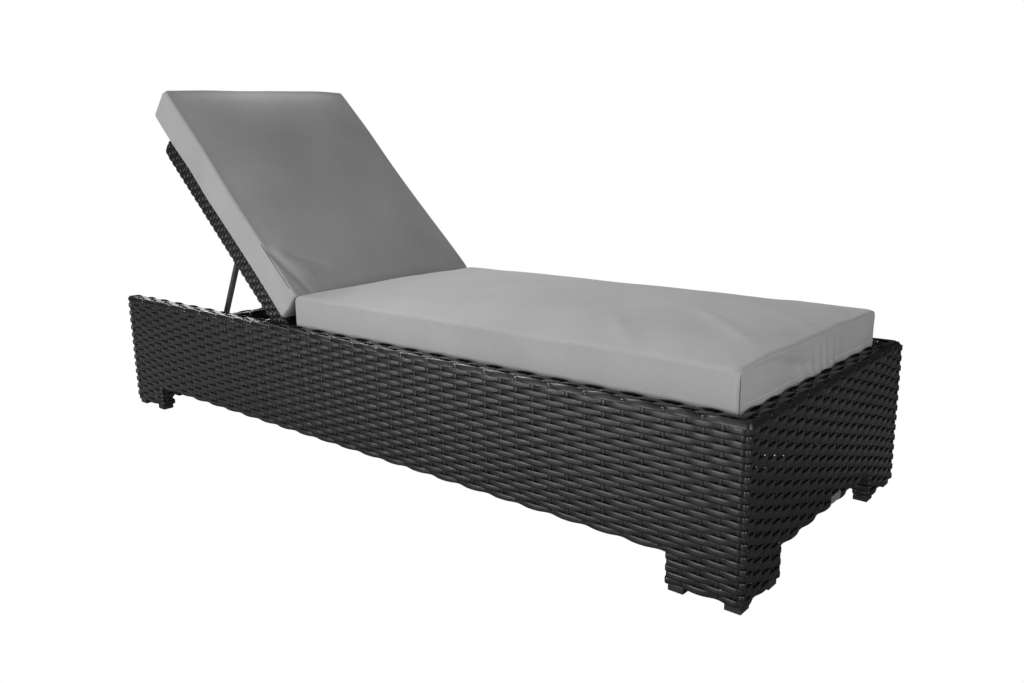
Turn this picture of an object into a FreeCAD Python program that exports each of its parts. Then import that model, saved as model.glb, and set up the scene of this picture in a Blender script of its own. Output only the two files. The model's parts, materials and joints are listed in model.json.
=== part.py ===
import FreeCAD, Part
import math
import os

# Reclining sun lounger. Millimetres, +Z up, foot end towards -Y, head end towards +Y.
# The origin is on the floor, under the middle of the base.

# Base
length = 2000.0
width = 740.0
wall_top = 330.0
head_wall_top = 228.0
skirt_bottom = 72.0
wall_thickness = 44.0
skin = 3.5
glide_height = 11.0
leg_width = 150.0
deck_top = 308.0
deck_thickness = 8.0
deck_rear_y = 232.0

# Frame tubes
rail_size = 30.0
tube_wall = 2.0
cross_tube_size = 25.0
seat_cross_ys = [-900.0, -620.0, -340.0, -60.0]
rear_upright_ys = [560.0, 900.0]
end_upright_xs = [-120.0, 120.0]

# Backrest: its hinge line, its rest angle above level and its section
hinge_y = 262.0
hinge_z = 284.0
rest_angle = 43.5
lowest_angle = 0.0
highest_angle = 55.0
back_start = 11.0
back_end = 705.0
back_half_width = 318.0
back_top_offset = 24.0
back_thickness = 50.0
wrap_width = 46.0

# Hinge stations
hinge_x = 230.0
hinge_eye_radius = 9.5
ear_thickness = 4.0
ear_gap = 12.0
tab_thickness = 8.0
bolt_radius = 4.0
running_gap = 0.06
hole_gap = 0.1

# Bail: pivots on the backrest and stands on the racks
bail_radius = 8.0
bail_wall = 1.5
bail_pivot_u = 362.0
bail_length = 322.0
bail_leg_x = 257.0
bail_angle_rest = 62.5
bail_angle_flat = 6.7
bail_half_length = 324.0
bail_eye_radius = 11.0
bail_eye_width = 16.0
weld_gap = 0.3
lug_thickness = 4.0

# Racks
rack_thickness = 10.0
rack_bottom = 192.0
rack_clearance = 0.6
rack_margin = 11.0
slot_width = 11.0
slot_depth = 6.0
lock_angles = [0.0, 20.0, 28.0, 36.0, 43.5, 50.0, 55.0]
rack_screw_ys = [580.0, 740.0, 900.0]

# Cushions
cushion_half_width = 323.5
seat_cushion_rear_y = 226.0
seat_cushion_height = 100.0
back_cushion_height = 92.0
back_cushion_start = 50.0
back_cushion_length = 740.0
cushion_edge = 25.0
cushion_lift = 0.5

# Tag on the foot wall
tag_length = 48.0
tag_height = 16.0
tag_thickness = 2.0
tag_x = 20.0
tag_z = 83.0

half_length = length / 2
half_width = width / 2
inner_x = half_width - wall_thickness
inner_y = half_length - wall_thickness
# The rails sit in the middle of the woven walls.
rail_inset = (wall_thickness - rail_size) / 2
rail_x = half_width - wall_thickness / 2
rail_y = half_length - wall_thickness / 2
post_x0 = rail_x - rail_size / 2
post_y0 = rail_y - rail_size / 2
top_rail_z0 = wall_top - rail_inset - rail_size
head_rail_z0 = head_wall_top - rail_inset - rail_size
bottom_rail_z0 = skirt_bottom + rail_inset

X_AXIS = FreeCAD.Vector(1, 0, 0)
Z_AXIS = FreeCAD.Vector(0, 0, 1)


def box(x0, x1, y0, y1, z0, z1):
    corner = FreeCAD.Vector(min(x0, x1), min(y0, y1), min(z0, z1))
    return Part.makeBox(abs(x1 - x0), abs(y1 - y0), abs(z1 - z0), corner)


def rod_x(radius, x0, x1, y, z):
    start = FreeCAD.Vector(min(x0, x1), y, z)
    return Part.makeCylinder(radius, abs(x1 - x0), start, X_AXIS)


def hexagon_x(radius, x0, x1, y, z):
    points = []
    for step in range(7):
        angle = math.radians(60 * step)
        points.append(FreeCAD.Vector(min(x0, x1), y + radius * math.cos(angle), z + radius * math.sin(angle)))
    face = Part.Face(Part.makePolygon(points))
    return face.extrude(FreeCAD.Vector(abs(x1 - x0), 0, 0))


def square_tube(x0, x1, y0, y1, z0, z1, along, wall=tube_wall):
    """A box-section tube, open at both ends, running along x, y or z."""
    trim = {"x": (0, wall, wall), "y": (wall, 0, wall), "z": (wall, wall, 0)}[along]
    outer = box(x0, x1, y0, y1, z0, z1)
    inner = box(x0 + trim[0], x1 - trim[0], y0 + trim[1], y1 - trim[1], z0 + trim[2], z1 - trim[2])
    return outer.cut(inner)


def woven_sleeve(x0, x1, y0, y1, z0, z1, edge=6.0):
    """A closed woven skin around a hollow, with its long outer edges rounded."""
    outer = box(x0, x1, y0, y1, z0, z1)
    outer = outer.makeFillet(edge, outer.Edges)
    return outer.cut(box(x0 + skin, x1 - skin, y0 + skin, y1 - skin, z0 + skin, z1 - skin))


def mirrored(shape):
    return shape.mirror(FreeCAD.Vector(0, 0, 0), X_AXIS)


def on_back(shape):
    """Move a shape from the backrest's own frame, hinge line at its origin, to its rest place."""
    placed = shape.copy()
    placed.rotate(FreeCAD.Vector(0, 0, 0), X_AXIS, rest_angle)
    placed.translate(FreeCAD.Vector(0, hinge_y, hinge_z))
    return placed


def bail_angle(back_angle):
    """The bail's slope below level, which changes evenly with the backrest's angle."""
    rate = (bail_angle_rest - bail_angle_flat) / (rest_angle - lowest_angle)
    return bail_angle_flat + rate * (back_angle - lowest_angle)


def foot_bar_place(back_angle):
    back = math.radians(back_angle)
    bail = math.radians(bail_angle(back_angle))
    y = hinge_y + bail_pivot_u * math.cos(back) + bail_length * math.cos(bail)
    z = hinge_z + bail_pivot_u * math.sin(back) - bail_length * math.sin(bail)
    return y, z


def save(name, solids):
    """Write one node: a single solid, or several separate ones."""
    shape = solids[0] if len(solids) == 1 else Part.makeCompound(solids)
    shape.exportStep("parts/" + name + ".step")


# ---------------------------------------------------------------- base frame

def long_rail(side, z0):
    x0 = side * post_x0
    x1 = side * (post_x0 + rail_size)
    reach = post_y0 + rail_size if z0 == top_rail_z0 else post_y0
    return square_tube(min(x0, x1), max(x0, x1), -reach, reach, z0, z0 + rail_size, "y")


def end_rail(end, z0):
    y0 = end * post_y0
    y1 = end * (post_y0 + rail_size)
    return square_tube(-post_x0, post_x0, min(y0, y1), max(y0, y1), z0, z0 + rail_size, "x")


def corner_post(side, end):
    x0, x1 = sorted([side * post_x0, side * (post_x0 + rail_size)])
    y0, y1 = sorted([end * post_y0, end * (post_y0 + rail_size)])
    return square_tube(x0, x1, y0, y1, glide_height, top_rail_z0, "z")


def stub_places():
    """Low corners of the short posts at the ends of the leg arms."""
    places = []
    arm_end = leg_width - rail_inset - rail_size
    for side in (-1, 1):
        for end in (-1, 1):
            y0 = min(end * (half_length - arm_end), end * (half_length - arm_end - rail_size))
            places.append((min(side * post_x0, side * (post_x0 + rail_size)), y0, side, end))
            x0 = min(side * (half_width - arm_end), side * (half_width - arm_end - rail_size))
            places.append((x0, min(end * post_y0, end * (post_y0 + rail_size)), side, end))
    return places


def stub_post(x0, y0):
    return square_tube(x0, x0 + rail_size, y0, y0 + rail_size, glide_height, bottom_rail_z0, "z")


def upright(x_mid, y_mid, z1):
    half = rail_size / 2
    z0 = bottom_rail_z0 + rail_size
    return square_tube(x_mid - half, x_mid + half, y_mid - half, y_mid + half, z0, z1, "z")


def cross_tube(y_mid, size):
    z1 = deck_top - deck_thickness
    return square_tube(-post_x0, post_x0, y_mid - size / 2, y_mid + size / 2, z1 - size, z1, "x")


hinge_tube_y = deck_rear_y - rail_size / 2
side_upright_ys = seat_cross_ys + [hinge_tube_y] + rear_upright_ys

rails = {}
for side, side_name in ((-1, "left"), (1, "right")):
    rails["rail_top_" + side_name] = [long_rail(side, top_rail_z0)]
    rails["rail_bottom_" + side_name] = [long_rail(side, bottom_rail_z0)]
    rails["uprights_" + side_name] = [upright(side * rail_x, y, top_rail_z0) for y in side_upright_ys]
rails["rail_top_foot"] = [end_rail(-1, top_rail_z0)]
rails["rail_bottom_foot"] = [end_rail(-1, bottom_rail_z0)]
rails["rail_top_head"] = [end_rail(1, head_rail_z0)]
rails["rail_bottom_head"] = [end_rail(1, bottom_rail_z0)]
rails["uprights_foot"] = [upright(x, -rail_y, top_rail_z0) for x in end_upright_xs]
rails["uprights_head"] = [upright(x, rail_y, head_rail_z0) for x in end_upright_xs]
rails["corner_posts"] = [corner_post(side, end) for side in (-1, 1) for end in (-1, 1)]
rails["leg_stub_posts"] = [stub_post(x0, y0) for x0, y0, side, end in stub_places()]
rails["seat_cross_tubes"] = [cross_tube(y, cross_tube_size) for y in seat_cross_ys]
rails["hinge_cross_tube"] = [cross_tube(hinge_tube_y, rail_size)]

# ---------------------------------------------------------------- woven skins


def fill_of(solids):
    """The tubes' outer boxes, to cut the holes that they pass through."""
    blocks = []
    for solid in solids:
        b = solid.BoundBox
        blocks.append(box(b.XMin, b.XMax, b.YMin, b.YMax, b.ZMin, b.ZMax))
    return Part.makeCompound(blocks)


def leg_sleeve(side, end):
    """The woven L-shaped leg, from the glides up to the skirt's bottom edge."""
    z0 = glide_height
    z1 = skirt_bottom
    x0, x1 = side * half_width, side * (half_width - leg_width)
    y0, y1 = end * half_length, end * (half_length - leg_width)
    xi = side * inner_x
    yi = end * inner_y
    outer = box(x0, xi, y0, y1, z0, z1).fuse(box(x0, x1, y0, yi, z0, z1)).removeSplitter()
    sx = side * skin
    sy = end * skin
    long_arm = box(x0 - sx, xi + sx, y0 - sy, y1 + sy, z0 + skin, z1 - skin)
    end_arm = box(x0 - sx, x1 + sx, y0 - sy, yi + sy, z0 + skin, z1 - skin)
    return outer.cut(long_arm.fuse(end_arm))


def tag_plate():
    straight = (tag_length - tag_height) / 2
    y0 = -half_length
    middle = box(tag_x - straight, tag_x + straight, y0, y0 + tag_thickness,
                 tag_z - tag_height / 2, tag_z + tag_height / 2)
    plate = middle
    for x in (tag_x - straight, tag_x + straight):
        round_end = Part.makeCylinder(tag_height / 2, tag_thickness, FreeCAD.Vector(x, y0, tag_z),
                                      FreeCAD.Vector(0, 1, 0))
        plate = plate.fuse(round_end)
    return plate.removeSplitter()


through_sides = fill_of(rails["rail_top_foot"] + rails["rail_bottom_foot"] + rails["rail_top_head"]
                        + rails["rail_bottom_head"] + rails["seat_cross_tubes"]
                        + rails["hinge_cross_tube"])
through_floors = fill_of(rails["corner_posts"] + rails["leg_stub_posts"])

tag = tag_plate()
skins = {}
for side, side_name in ((-1, "left"), (1, "right")):
    x0, x1 = sorted([side * half_width, side * inner_x])
    sleeve = woven_sleeve(x0, x1, -half_length, half_length, skirt_bottom, wall_top)
    skins["weave_side_" + side_name] = sleeve.cut(through_sides).cut(through_floors)
    for end, end_name in ((-1, "foot"), (1, "head")):
        skins["weave_leg_" + end_name + "_" + side_name] = leg_sleeve(side, end).cut(through_floors)
foot_sleeve = woven_sleeve(-inner_x, inner_x, -half_length, -inner_y, skirt_bottom, wall_top)
head_sleeve = woven_sleeve(-inner_x, inner_x, inner_y, half_length, skirt_bottom, head_wall_top)
end_rails = fill_of(rails["rail_top_foot"] + rails["rail_bottom_foot"] + rails["rail_top_head"]
                    + rails["rail_bottom_head"])
skins["weave_foot_end"] = foot_sleeve.cut(end_rails).cut(through_floors).cut(tag)
skins["weave_head_end"] = head_sleeve.cut(end_rails).cut(through_floors)
skins["seat_deck_weave"] = box(-inner_x, inner_x, -inner_y, deck_rear_y, deck_top - deck_thickness, deck_top)

# ---------------------------------------------------------------- glides


def glide(x0, y0):
    """A plastic foot: a pad under the post and a stem inside it."""
    pad = box(x0, x0 + rail_size, y0, y0 + rail_size, 0, glide_height)
    pad = pad.makeFillet(2.0, [edge for edge in pad.Edges if edge.BoundBox.ZMax < 0.01])
    inset = tube_wall + 0.2
    stem = box(x0 + inset, x0 + rail_size - inset, y0 + inset, y0 + rail_size - inset,
               glide_height, glide_height + 22.0)
    return pad.fuse(stem)


def glides(side, end):
    spots = [(min(side * post_x0, side * (post_x0 + rail_size)),
              min(end * post_y0, end * (post_y0 + rail_size)))]
    for x0, y0, stub_side, stub_end in stub_places():
        if stub_side == side and stub_end == end:
            spots.append((x0, y0))
    return [glide(x0, y0) for x0, y0 in spots]


# ---------------------------------------------------------------- hinge

def hinge_bracket():
    """Right-hand bracket: a plate on the cross tube and two ears that carry the bolt."""
    tube_face = deck_rear_y
    plate = box(hinge_x - 20, hinge_x + 20, tube_face, tube_face + ear_thickness,
                hinge_z - 13, hinge_z + 13)
    bracket = plate
    for sign in (-1, 1):
        x0 = hinge_x + sign * ear_gap / 2
        x1 = x0 + sign * ear_thickness
        web = box(x0, x1, tube_face, hinge_y, hinge_z - hinge_eye_radius, hinge_z + hinge_eye_radius)
        bracket = bracket.fuse(web).fuse(rod_x(hinge_eye_radius, x0, x1, hinge_y, hinge_z))
    hole = rod_x(bolt_radius + 0.02, hinge_x - 40, hinge_x + 40, hinge_y, hinge_z)
    return bracket.removeSplitter().cut(hole)


def hinge_bolt():
    outer_x = hinge_x + ear_gap / 2 + ear_thickness
    inner_x0 = hinge_x - ear_gap / 2 - ear_thickness
    shank = rod_x(bolt_radius, inner_x0 - 9.0, outer_x, hinge_y, hinge_z)
    head = hexagon_x(7.0, outer_x, outer_x + 5.0, hinge_y, hinge_z)
    return shank.fuse(head)


def hinge_nut():
    inner_x0 = hinge_x - ear_gap / 2 - ear_thickness
    nut = hexagon_x(7.0, inner_x0 - 7.0, inner_x0, hinge_y, hinge_z)
    return nut.cut(rod_x(bolt_radius + 0.02, inner_x0 - 10, inner_x0 + 5, hinge_y, hinge_z))


bush_radius = 6.0


def hinge_bush():
    """A flangeless bush in the backrest's tab, which turns on the bolt."""
    half = ear_gap / 2 - 0.2
    bush = rod_x(bush_radius, hinge_x - half, hinge_x + half, 0, 0)
    return bush.cut(rod_x(bolt_radius + running_gap, hinge_x - half - 1, hinge_x + half + 1, 0, 0))


back_tube_start = back_start + (wrap_width - rail_size) / 2


def hinge_tab():
    x0 = hinge_x - tab_thickness / 2
    x1 = hinge_x + tab_thickness / 2
    tab = rod_x(hinge_eye_radius, x0, x1, 0, 0)
    tab = tab.fuse(box(x0, x1, 0, back_tube_start, -hinge_eye_radius, hinge_eye_radius))
    return tab.removeSplitter().cut(rod_x(bush_radius + 0.02, x0 - 1, x1 + 1, 0, 0))


# ---------------------------------------------------------------- backrest, in its own frame

back_bottom_offset = back_top_offset - back_thickness
back_mid_offset = (back_top_offset + back_bottom_offset) / 2
back_inner_x = back_half_width - wrap_width
back_tube_end = back_end - (wrap_width - rail_size) / 2
tube_low = back_mid_offset - rail_size / 2
tube_high = back_mid_offset + rail_size / 2
back_rail_x = back_half_width - wrap_width / 2


def back_side_tube(side):
    x_mid = side * back_rail_x
    return square_tube(x_mid - rail_size / 2, x_mid + rail_size / 2, back_tube_start, back_tube_end,
                       tube_low, tube_high, "y")


def back_end_tube(u0):
    reach = back_rail_x - rail_size / 2
    return square_tube(-reach, reach, u0, u0 + rail_size, tube_low, tube_high, "x")


def back_cross_tube():
    """Under the woven panel, between the side tubes, level with the bail's pivots."""
    reach = back_rail_x - rail_size / 2
    size = 20.0
    z1 = back_top_offset - deck_thickness
    u0 = bail_pivot_u - 60.0
    return square_tube(-reach, reach, u0, u0 + size, z1 - size, z1, "x")


def bail_lug():
    """Right-hand plate on the inner face of the backrest's side, around the bail's pivot."""
    x1 = back_inner_x
    x0 = x1 - lug_thickness
    plate = box(x0, x1, bail_pivot_u - 24, bail_pivot_u + 24, -16, 14)
    return plate.cut(rod_x(bolt_radius + 0.02, x0 - 1, x1 + 1, bail_pivot_u, 0))


bail_washer_width = 2.6
bail_eye_outer_x = bail_leg_x + bail_eye_width / 2
pivot_bolt_tip = back_rail_x - rail_size / 2 + tube_wall


def bail_pivot_bolt():
    head_x = bail_leg_x - bail_eye_width / 2 - 0.5
    shank = rod_x(bolt_radius, head_x, pivot_bolt_tip, bail_pivot_u, 0)
    return shank.fuse(hexagon_x(7.0, head_x - 5.0, head_x, bail_pivot_u, 0))


def bail_washer():
    x0 = bail_eye_outer_x + 0.2
    ring = rod_x(8.0, x0, x0 + bail_washer_width, bail_pivot_u, 0)
    return ring.cut(rod_x(bolt_radius + 0.02, x0 - 1, x0 + bail_washer_width + 1, bail_pivot_u, 0))


tabs = [hinge_tab(), mirrored(hinge_tab())]
pivot_bolts = [bail_pivot_bolt(), mirrored(bail_pivot_bolt())]
pivot_holes = rod_x(bolt_radius + hole_gap, -pivot_bolt_tip - 1, pivot_bolt_tip + 1, bail_pivot_u, 0)
side_tubes = {side: back_side_tube(side) for side in (-1, 1)}
end_tubes = {"bottom": back_end_tube(back_tube_start), "top": back_end_tube(back_tube_end - rail_size)}
cross = back_cross_tube()
crossings = fill_of(list(end_tubes.values()) + [cross])

back = {}
for side, side_name in ((-1, "left"), (1, "right")):
    x0, x1 = sorted([side * back_inner_x, side * back_half_width])
    wrap = woven_sleeve(x0, x1, back_start, back_end, back_bottom_offset, back_top_offset)
    back["back_wrap_" + side_name] = [wrap.cut(crossings).cut(pivot_holes)]
    back["back_tube_" + side_name] = [side_tubes[side].cut(pivot_holes)]
for end_name, u0 in (("bottom", back_start), ("top", back_end - wrap_width)):
    wrap = woven_sleeve(-back_inner_x, back_inner_x, u0, u0 + wrap_width, back_bottom_offset, back_top_offset)
    tube_fill = fill_of([end_tubes[end_name]])
    back["back_wrap_" + end_name] = [wrap.cut(tube_fill).cut(Part.makeCompound(tabs))]
    back["back_tube_" + end_name] = [end_tubes[end_name]]
back["back_cross_tube"] = [cross]
back["back_panel_weave"] = [box(-back_inner_x, back_inner_x, back_start + wrap_width, back_end - wrap_width,
                                back_top_offset - deck_thickness, back_top_offset)]
back["back_hinge_tabs"] = tabs
back["hinge_bushes"] = [hinge_bush(), mirrored(hinge_bush())]
back["bail_lugs"] = [bail_lug(), mirrored(bail_lug())]
back["bail_pivot_bolts"] = pivot_bolts

# ---------------------------------------------------------------- bail, in the backrest's frame


def bail_leg():
    """Right-hand leg: an eye on the pivot bolt and a tube down to the foot bar."""
    turn = -(bail_angle_rest + rest_angle)
    x0 = bail_leg_x - bail_eye_width / 2
    x1 = bail_leg_x + bail_eye_width / 2
    start = FreeCAD.Vector(bail_leg_x, 0, 0)
    along = FreeCAD.Vector(0, 1, 0)
    rod = Part.makeCylinder(bail_radius, bail_length, start, along)
    rod = rod.fuse(rod_x(bail_eye_radius, x0, x1, 0, 0))
    bore_length = bail_length - 2 * bail_eye_radius
    bore_start = FreeCAD.Vector(bail_leg_x, 2 * bail_eye_radius, 0)
    leg = rod.cut(Part.makeCylinder(bail_radius - bail_wall, bore_length, bore_start, along))
    leg = leg.cut(rod_x(bolt_radius + running_gap, x0 - 1, x1 + 1, 0, 0))
    leg = leg.cut(rod_x(bail_radius + weld_gap, x0 - 20, x1 + 20, bail_length, 0))
    leg.rotate(FreeCAD.Vector(0, 0, 0), X_AXIS, turn)
    leg.translate(FreeCAD.Vector(0, bail_pivot_u, 0))
    return leg


cap_thickness = 2.0


def foot_bar():
    y, z = foot_bar_place(rest_angle)
    reach = bail_half_length - cap_thickness
    bar = rod_x(bail_radius, -reach, reach, y, z)
    return bar.cut(rod_x(bail_radius - bail_wall, -reach, reach, y, z))


def foot_bar_cap():
    y, z = foot_bar_place(rest_angle)
    reach = bail_half_length - cap_thickness
    cap = rod_x(bail_radius, reach, bail_half_length, y, z)
    return cap.fuse(rod_x(bail_radius - bail_wall - 0.1, reach - 10.0, reach, y, z))


# ---------------------------------------------------------------- racks

def rack():
    """Right-hand notched bar. Its top edge follows the foot bar's path, just below it."""
    drop = bail_radius + rack_clearance
    places = [foot_bar_place(lowest_angle + step * (highest_angle - lowest_angle) / 44) for step in range(45)]
    first_y, first_z = places[0]
    last_y, last_z = places[-1]
    x0 = inner_x - rack_thickness
    points = [FreeCAD.Vector(x0, first_y + rack_margin, first_z - drop)]
    points += [FreeCAD.Vector(x0, y, z - drop) for y, z in places]
    points.append(FreeCAD.Vector(x0, last_y - rack_margin, last_z - drop))
    points.append(FreeCAD.Vector(x0, last_y - rack_margin, rack_bottom))
    points.append(FreeCAD.Vector(x0, first_y + rack_margin, rack_bottom))
    points.append(points[0])
    bar = Part.Face(Part.makePolygon(points)).extrude(FreeCAD.Vector(rack_thickness, 0, 0))
    for angle in lock_angles:
        y, z = foot_bar_place(angle)
        bottom = z - drop - slot_depth
        half = slot_width / 2
        slot = box(x0 - 1, inner_x + 1, y - half, y + half, bottom + half, z + 30.0)
        slot = slot.fuse(rod_x(half, x0 - 1, inner_x + 1, y, bottom + half))
        bar = bar.cut(slot)
    for y in rack_screw_ys:
        bar = bar.cut(rod_x(3.05, x0 - 1, inner_x + 1, y, rack_screw_z))
    return bar


rack_screw_z = rack_bottom + 10.0


def rack_screw(y):
    """A button-head screw through the rack into the woven wall's frame."""
    x0 = inner_x - rack_thickness
    head = rod_x(5.5, x0 - 3.0, x0, y, rack_screw_z)
    return head.fuse(rod_x(3.0, x0, inner_x + skin, y, rack_screw_z))


screws = [rack_screw(y) for y in rack_screw_ys]
screws += [mirrored(screw) for screw in screws]
screw_reach = inner_x + skin + 1
screw_holes = [rod_x(3.0 + hole_gap, -screw_reach, screw_reach, y, rack_screw_z) for y in rack_screw_ys]
for side_name in ("left", "right"):
    name = "weave_side_" + side_name
    skins[name] = skins[name].cut(Part.makeCompound(screw_holes))

# ---------------------------------------------------------------- cushions


def cushion(y0, y1, z0, height):
    block = box(-cushion_half_width, cushion_half_width, y0, y1, z0, z0 + height)
    return block.makeFillet(cushion_edge, block.Edges)


seat_cushion = cushion(-inner_y + 1.0, seat_cushion_rear_y, deck_top + cushion_lift, seat_cushion_height)
back_cushion = cushion(back_cushion_start, back_cushion_start + back_cushion_length,
                       back_top_offset + cushion_lift, back_cushion_height)

# ---------------------------------------------------------------- export

os.makedirs("parts", exist_ok=True)
for name, solids in rails.items():
    save(name, solids)
for name, shape in skins.items():
    save(name, [shape])
for side, side_name in ((-1, "left"), (1, "right")):
    for end, end_name in ((-1, "foot"), (1, "head")):
        save("glides_" + end_name + "_" + side_name, glides(side, end))
for name, solids in back.items():
    save(name, [on_back(solid) for solid in solids])
save("hinge_bracket_right", [hinge_bracket()])
save("hinge_bracket_left", [mirrored(hinge_bracket())])
save("hinge_bolts", [hinge_bolt(), mirrored(hinge_bolt())])
save("hinge_nuts", [hinge_nut(), mirrored(hinge_nut())])
save("bail_washers", [on_back(bail_washer()), on_back(mirrored(bail_washer()))])
save("bail_leg_right", [on_back(bail_leg())])
save("bail_leg_left", [on_back(mirrored(bail_leg()))])
save("bail_foot_bar", [foot_bar()])
save("bail_end_caps", [foot_bar_cap(), mirrored(foot_bar_cap())])
save("rack_right", [rack()])
save("rack_left", [mirrored(rack())])
save("rack_screws", screws)
save("tag_plate", [tag])
save("seat_cushion", [seat_cushion])
save("back_cushion", [on_back(back_cushion)])
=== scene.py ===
import json
import math

import bmesh
import bpy
import numpy as np
from mathutils import Matrix, Vector
from mathutils.bvhtree import BVHTree


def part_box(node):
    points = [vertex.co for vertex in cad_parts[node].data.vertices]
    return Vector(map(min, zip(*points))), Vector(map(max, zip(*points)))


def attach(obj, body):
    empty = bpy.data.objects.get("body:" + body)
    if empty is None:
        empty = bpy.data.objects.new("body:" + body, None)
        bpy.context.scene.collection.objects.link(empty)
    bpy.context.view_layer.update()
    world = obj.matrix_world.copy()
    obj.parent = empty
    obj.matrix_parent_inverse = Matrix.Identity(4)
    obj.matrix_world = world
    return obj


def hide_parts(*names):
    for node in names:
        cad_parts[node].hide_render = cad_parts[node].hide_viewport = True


# Reclining sun lounger: woven resin base and backrest, grey cushions, black bail.
# Everything is in metres in the row frame: +Z up, the foot end towards -Y.

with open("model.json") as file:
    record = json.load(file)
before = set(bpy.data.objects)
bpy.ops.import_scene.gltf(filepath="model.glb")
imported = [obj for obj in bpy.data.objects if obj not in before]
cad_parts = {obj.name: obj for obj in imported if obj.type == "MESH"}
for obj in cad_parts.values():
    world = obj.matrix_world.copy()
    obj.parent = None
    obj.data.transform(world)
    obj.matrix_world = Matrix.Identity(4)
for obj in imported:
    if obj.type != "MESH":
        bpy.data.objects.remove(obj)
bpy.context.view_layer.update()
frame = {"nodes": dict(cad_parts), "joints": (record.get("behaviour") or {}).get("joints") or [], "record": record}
nodes = frame["nodes"]
joints = {joint["name"]: joint for joint in frame["joints"]}
rng = np.random.default_rng(7)

# ---------------------------------------------------------------- sizes read from the frame

wall_low, wall_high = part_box("weave_side_left")
HALF_X = -wall_low.x
HALF_Y = wall_high.y
WALL_TOP = wall_high.z
SKIRT = wall_low.z
WALL = wall_high.x - wall_low.x
INNER_X = HALF_X - WALL
INNER_Y = HALF_Y - WALL
HEAD_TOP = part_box("weave_head_end")[1].z
leg_low, leg_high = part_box("weave_leg_foot_left")
LEG = leg_high.x - leg_low.x
LEG_BOTTOM = leg_low.z

# The backrest's own frame: x across, u up the backrest, n square to it.
recline = joints["backrest_recline"]
HINGE = Vector(recline["pos_m"])
REST = math.radians(43.5)
BACK_U = Vector((0, math.cos(REST), math.sin(REST)))
BACK_N = Vector((0, -math.sin(REST), math.cos(REST)))


def back_extent(node):
    """Lowest and highest (x, u, n) of a CAD node in the backrest's frame."""
    rows = []
    for vertex in nodes[node].data.vertices:
        offset = vertex.co - HINGE
        rows.append((offset.x, offset.dot(BACK_U), offset.dot(BACK_N)))
    rows = np.array(rows)
    return rows.min(0), rows.max(0)


# ---------------------------------------------------------------- materials

def new_object(name, data):
    thing = bpy.data.objects.new(name, data)
    bpy.context.scene.collection.objects.link(thing)
    return thing


class Tree:
    """A short way to write shader nodes."""

    def __init__(self, name):
        self.material = bpy.data.materials.new(name)
        self.material.use_nodes = True
        self.tree = self.material.node_tree
        self.tree.nodes.clear()
        self.out = self.add("ShaderNodeOutputMaterial")
        self.bsdf = self.add("ShaderNodeBsdfPrincipled")
        self.link(self.bsdf.outputs["BSDF"], self.out.inputs["Surface"])

    def add(self, kind, inputs=None, **values):
        """A node with these attributes, and these inputs set to a value or linked to a socket."""
        node = self.tree.nodes.new(kind)
        for key, value in values.items():
            setattr(node, key, value)
        for key, value in (inputs or {}).items():
            if isinstance(value, bpy.types.NodeSocket):
                self.link(value, node.inputs[key])
            else:
                node.inputs[key].default_value = value
        return node

    def link(self, source, target):
        self.tree.links.new(source, target)

    def set(self, **values):
        for key, value in values.items():
            self.bsdf.inputs[key.replace("_", " ")].default_value = value

    def mapped(self, source, scale):
        return self.add("ShaderNodeMapping", {"Scale": scale, "Vector": source}).outputs["Vector"]

    def noise(self, vector, scale, detail=2.0, rough=0.5, distortion=0.0):
        inputs = {"Scale": scale, "Detail": detail, "Roughness": rough, "Distortion": distortion}
        return self.add("ShaderNodeTexNoise", inputs | {"Vector": vector}).outputs["Fac"]

    def spread(self, value, low, high, from_low=0.0, from_high=1.0):
        inputs = {"From Min": from_low, "From Max": from_high, "To Min": low, "To Max": high}
        return self.add("ShaderNodeMapRange", inputs | {"Value": value}).outputs["Result"]

    def math(self, operation, a, b=0.0, c=0.0):
        return self.add("ShaderNodeMath", {0: a, 1: b, 2: c}, operation=operation).outputs["Value"]

    def ramp(self, value, stops):
        node = self.add("ShaderNodeValToRGB", {"Fac": value})
        ramp = node.color_ramp
        while len(ramp.elements) < len(stops):
            ramp.elements.new(0.5)
        for element, (place, colour) in zip(ramp.elements, stops):
            element.position = place
            element.color = (*colour, 1.0)
        return node.outputs["Color"]

    def bump(self, height, strength, distance, below=None):
        inputs = {"Strength": strength, "Distance": distance, "Height": height}
        if below is not None:
            inputs["Normal"] = below
        return self.add("ShaderNodeBump", inputs).outputs["Normal"]

    def object_coords(self):
        return self.add("ShaderNodeTexCoord").outputs["Object"]

    def finish(self, colour=None, roughness=None, normal=None):
        for value, name in ((colour, "Base Color"), (roughness, "Roughness"), (normal, "Normal")):
            if value is not None:
                self.link(value, self.bsdf.inputs[name])
        return self.material


def resin_material():
    """Extruded resin strand: fine grooves along it, satin, each strand its own shade."""
    t = Tree("woven_resin")
    strand = t.add("ShaderNodeUVMap", uv_map="strand").outputs["UV"]
    shade = t.noise(t.mapped(strand, (2.0, 19.0, 1.0)), 1.0, 1.0)
    grain = t.noise(t.mapped(strand, (14.0, 1900.0, 1.0)), 1.0, 3.0, 0.6)
    patches = t.noise(t.mapped(strand, (60.0, 160.0, 1.0)), 1.0, 2.0)
    mixed = t.math("MULTIPLY_ADD", grain, 0.35, t.math("MULTIPLY", shade, 0.65))
    colour = t.ramp(mixed, [(0.25, (0.0034, 0.0034, 0.0036)), (0.55, (0.0058, 0.0058, 0.0060)),
                            (0.80, (0.0110, 0.0109, 0.0110))])
    roughness = t.spread(patches, 0.33, 0.46, 0.3, 0.7)
    normal = t.bump(grain, 0.40, 0.0004)
    t.set(Specular_IOR_Level=0.5, IOR=1.54)
    return t.finish(colour, roughness, normal)


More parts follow.
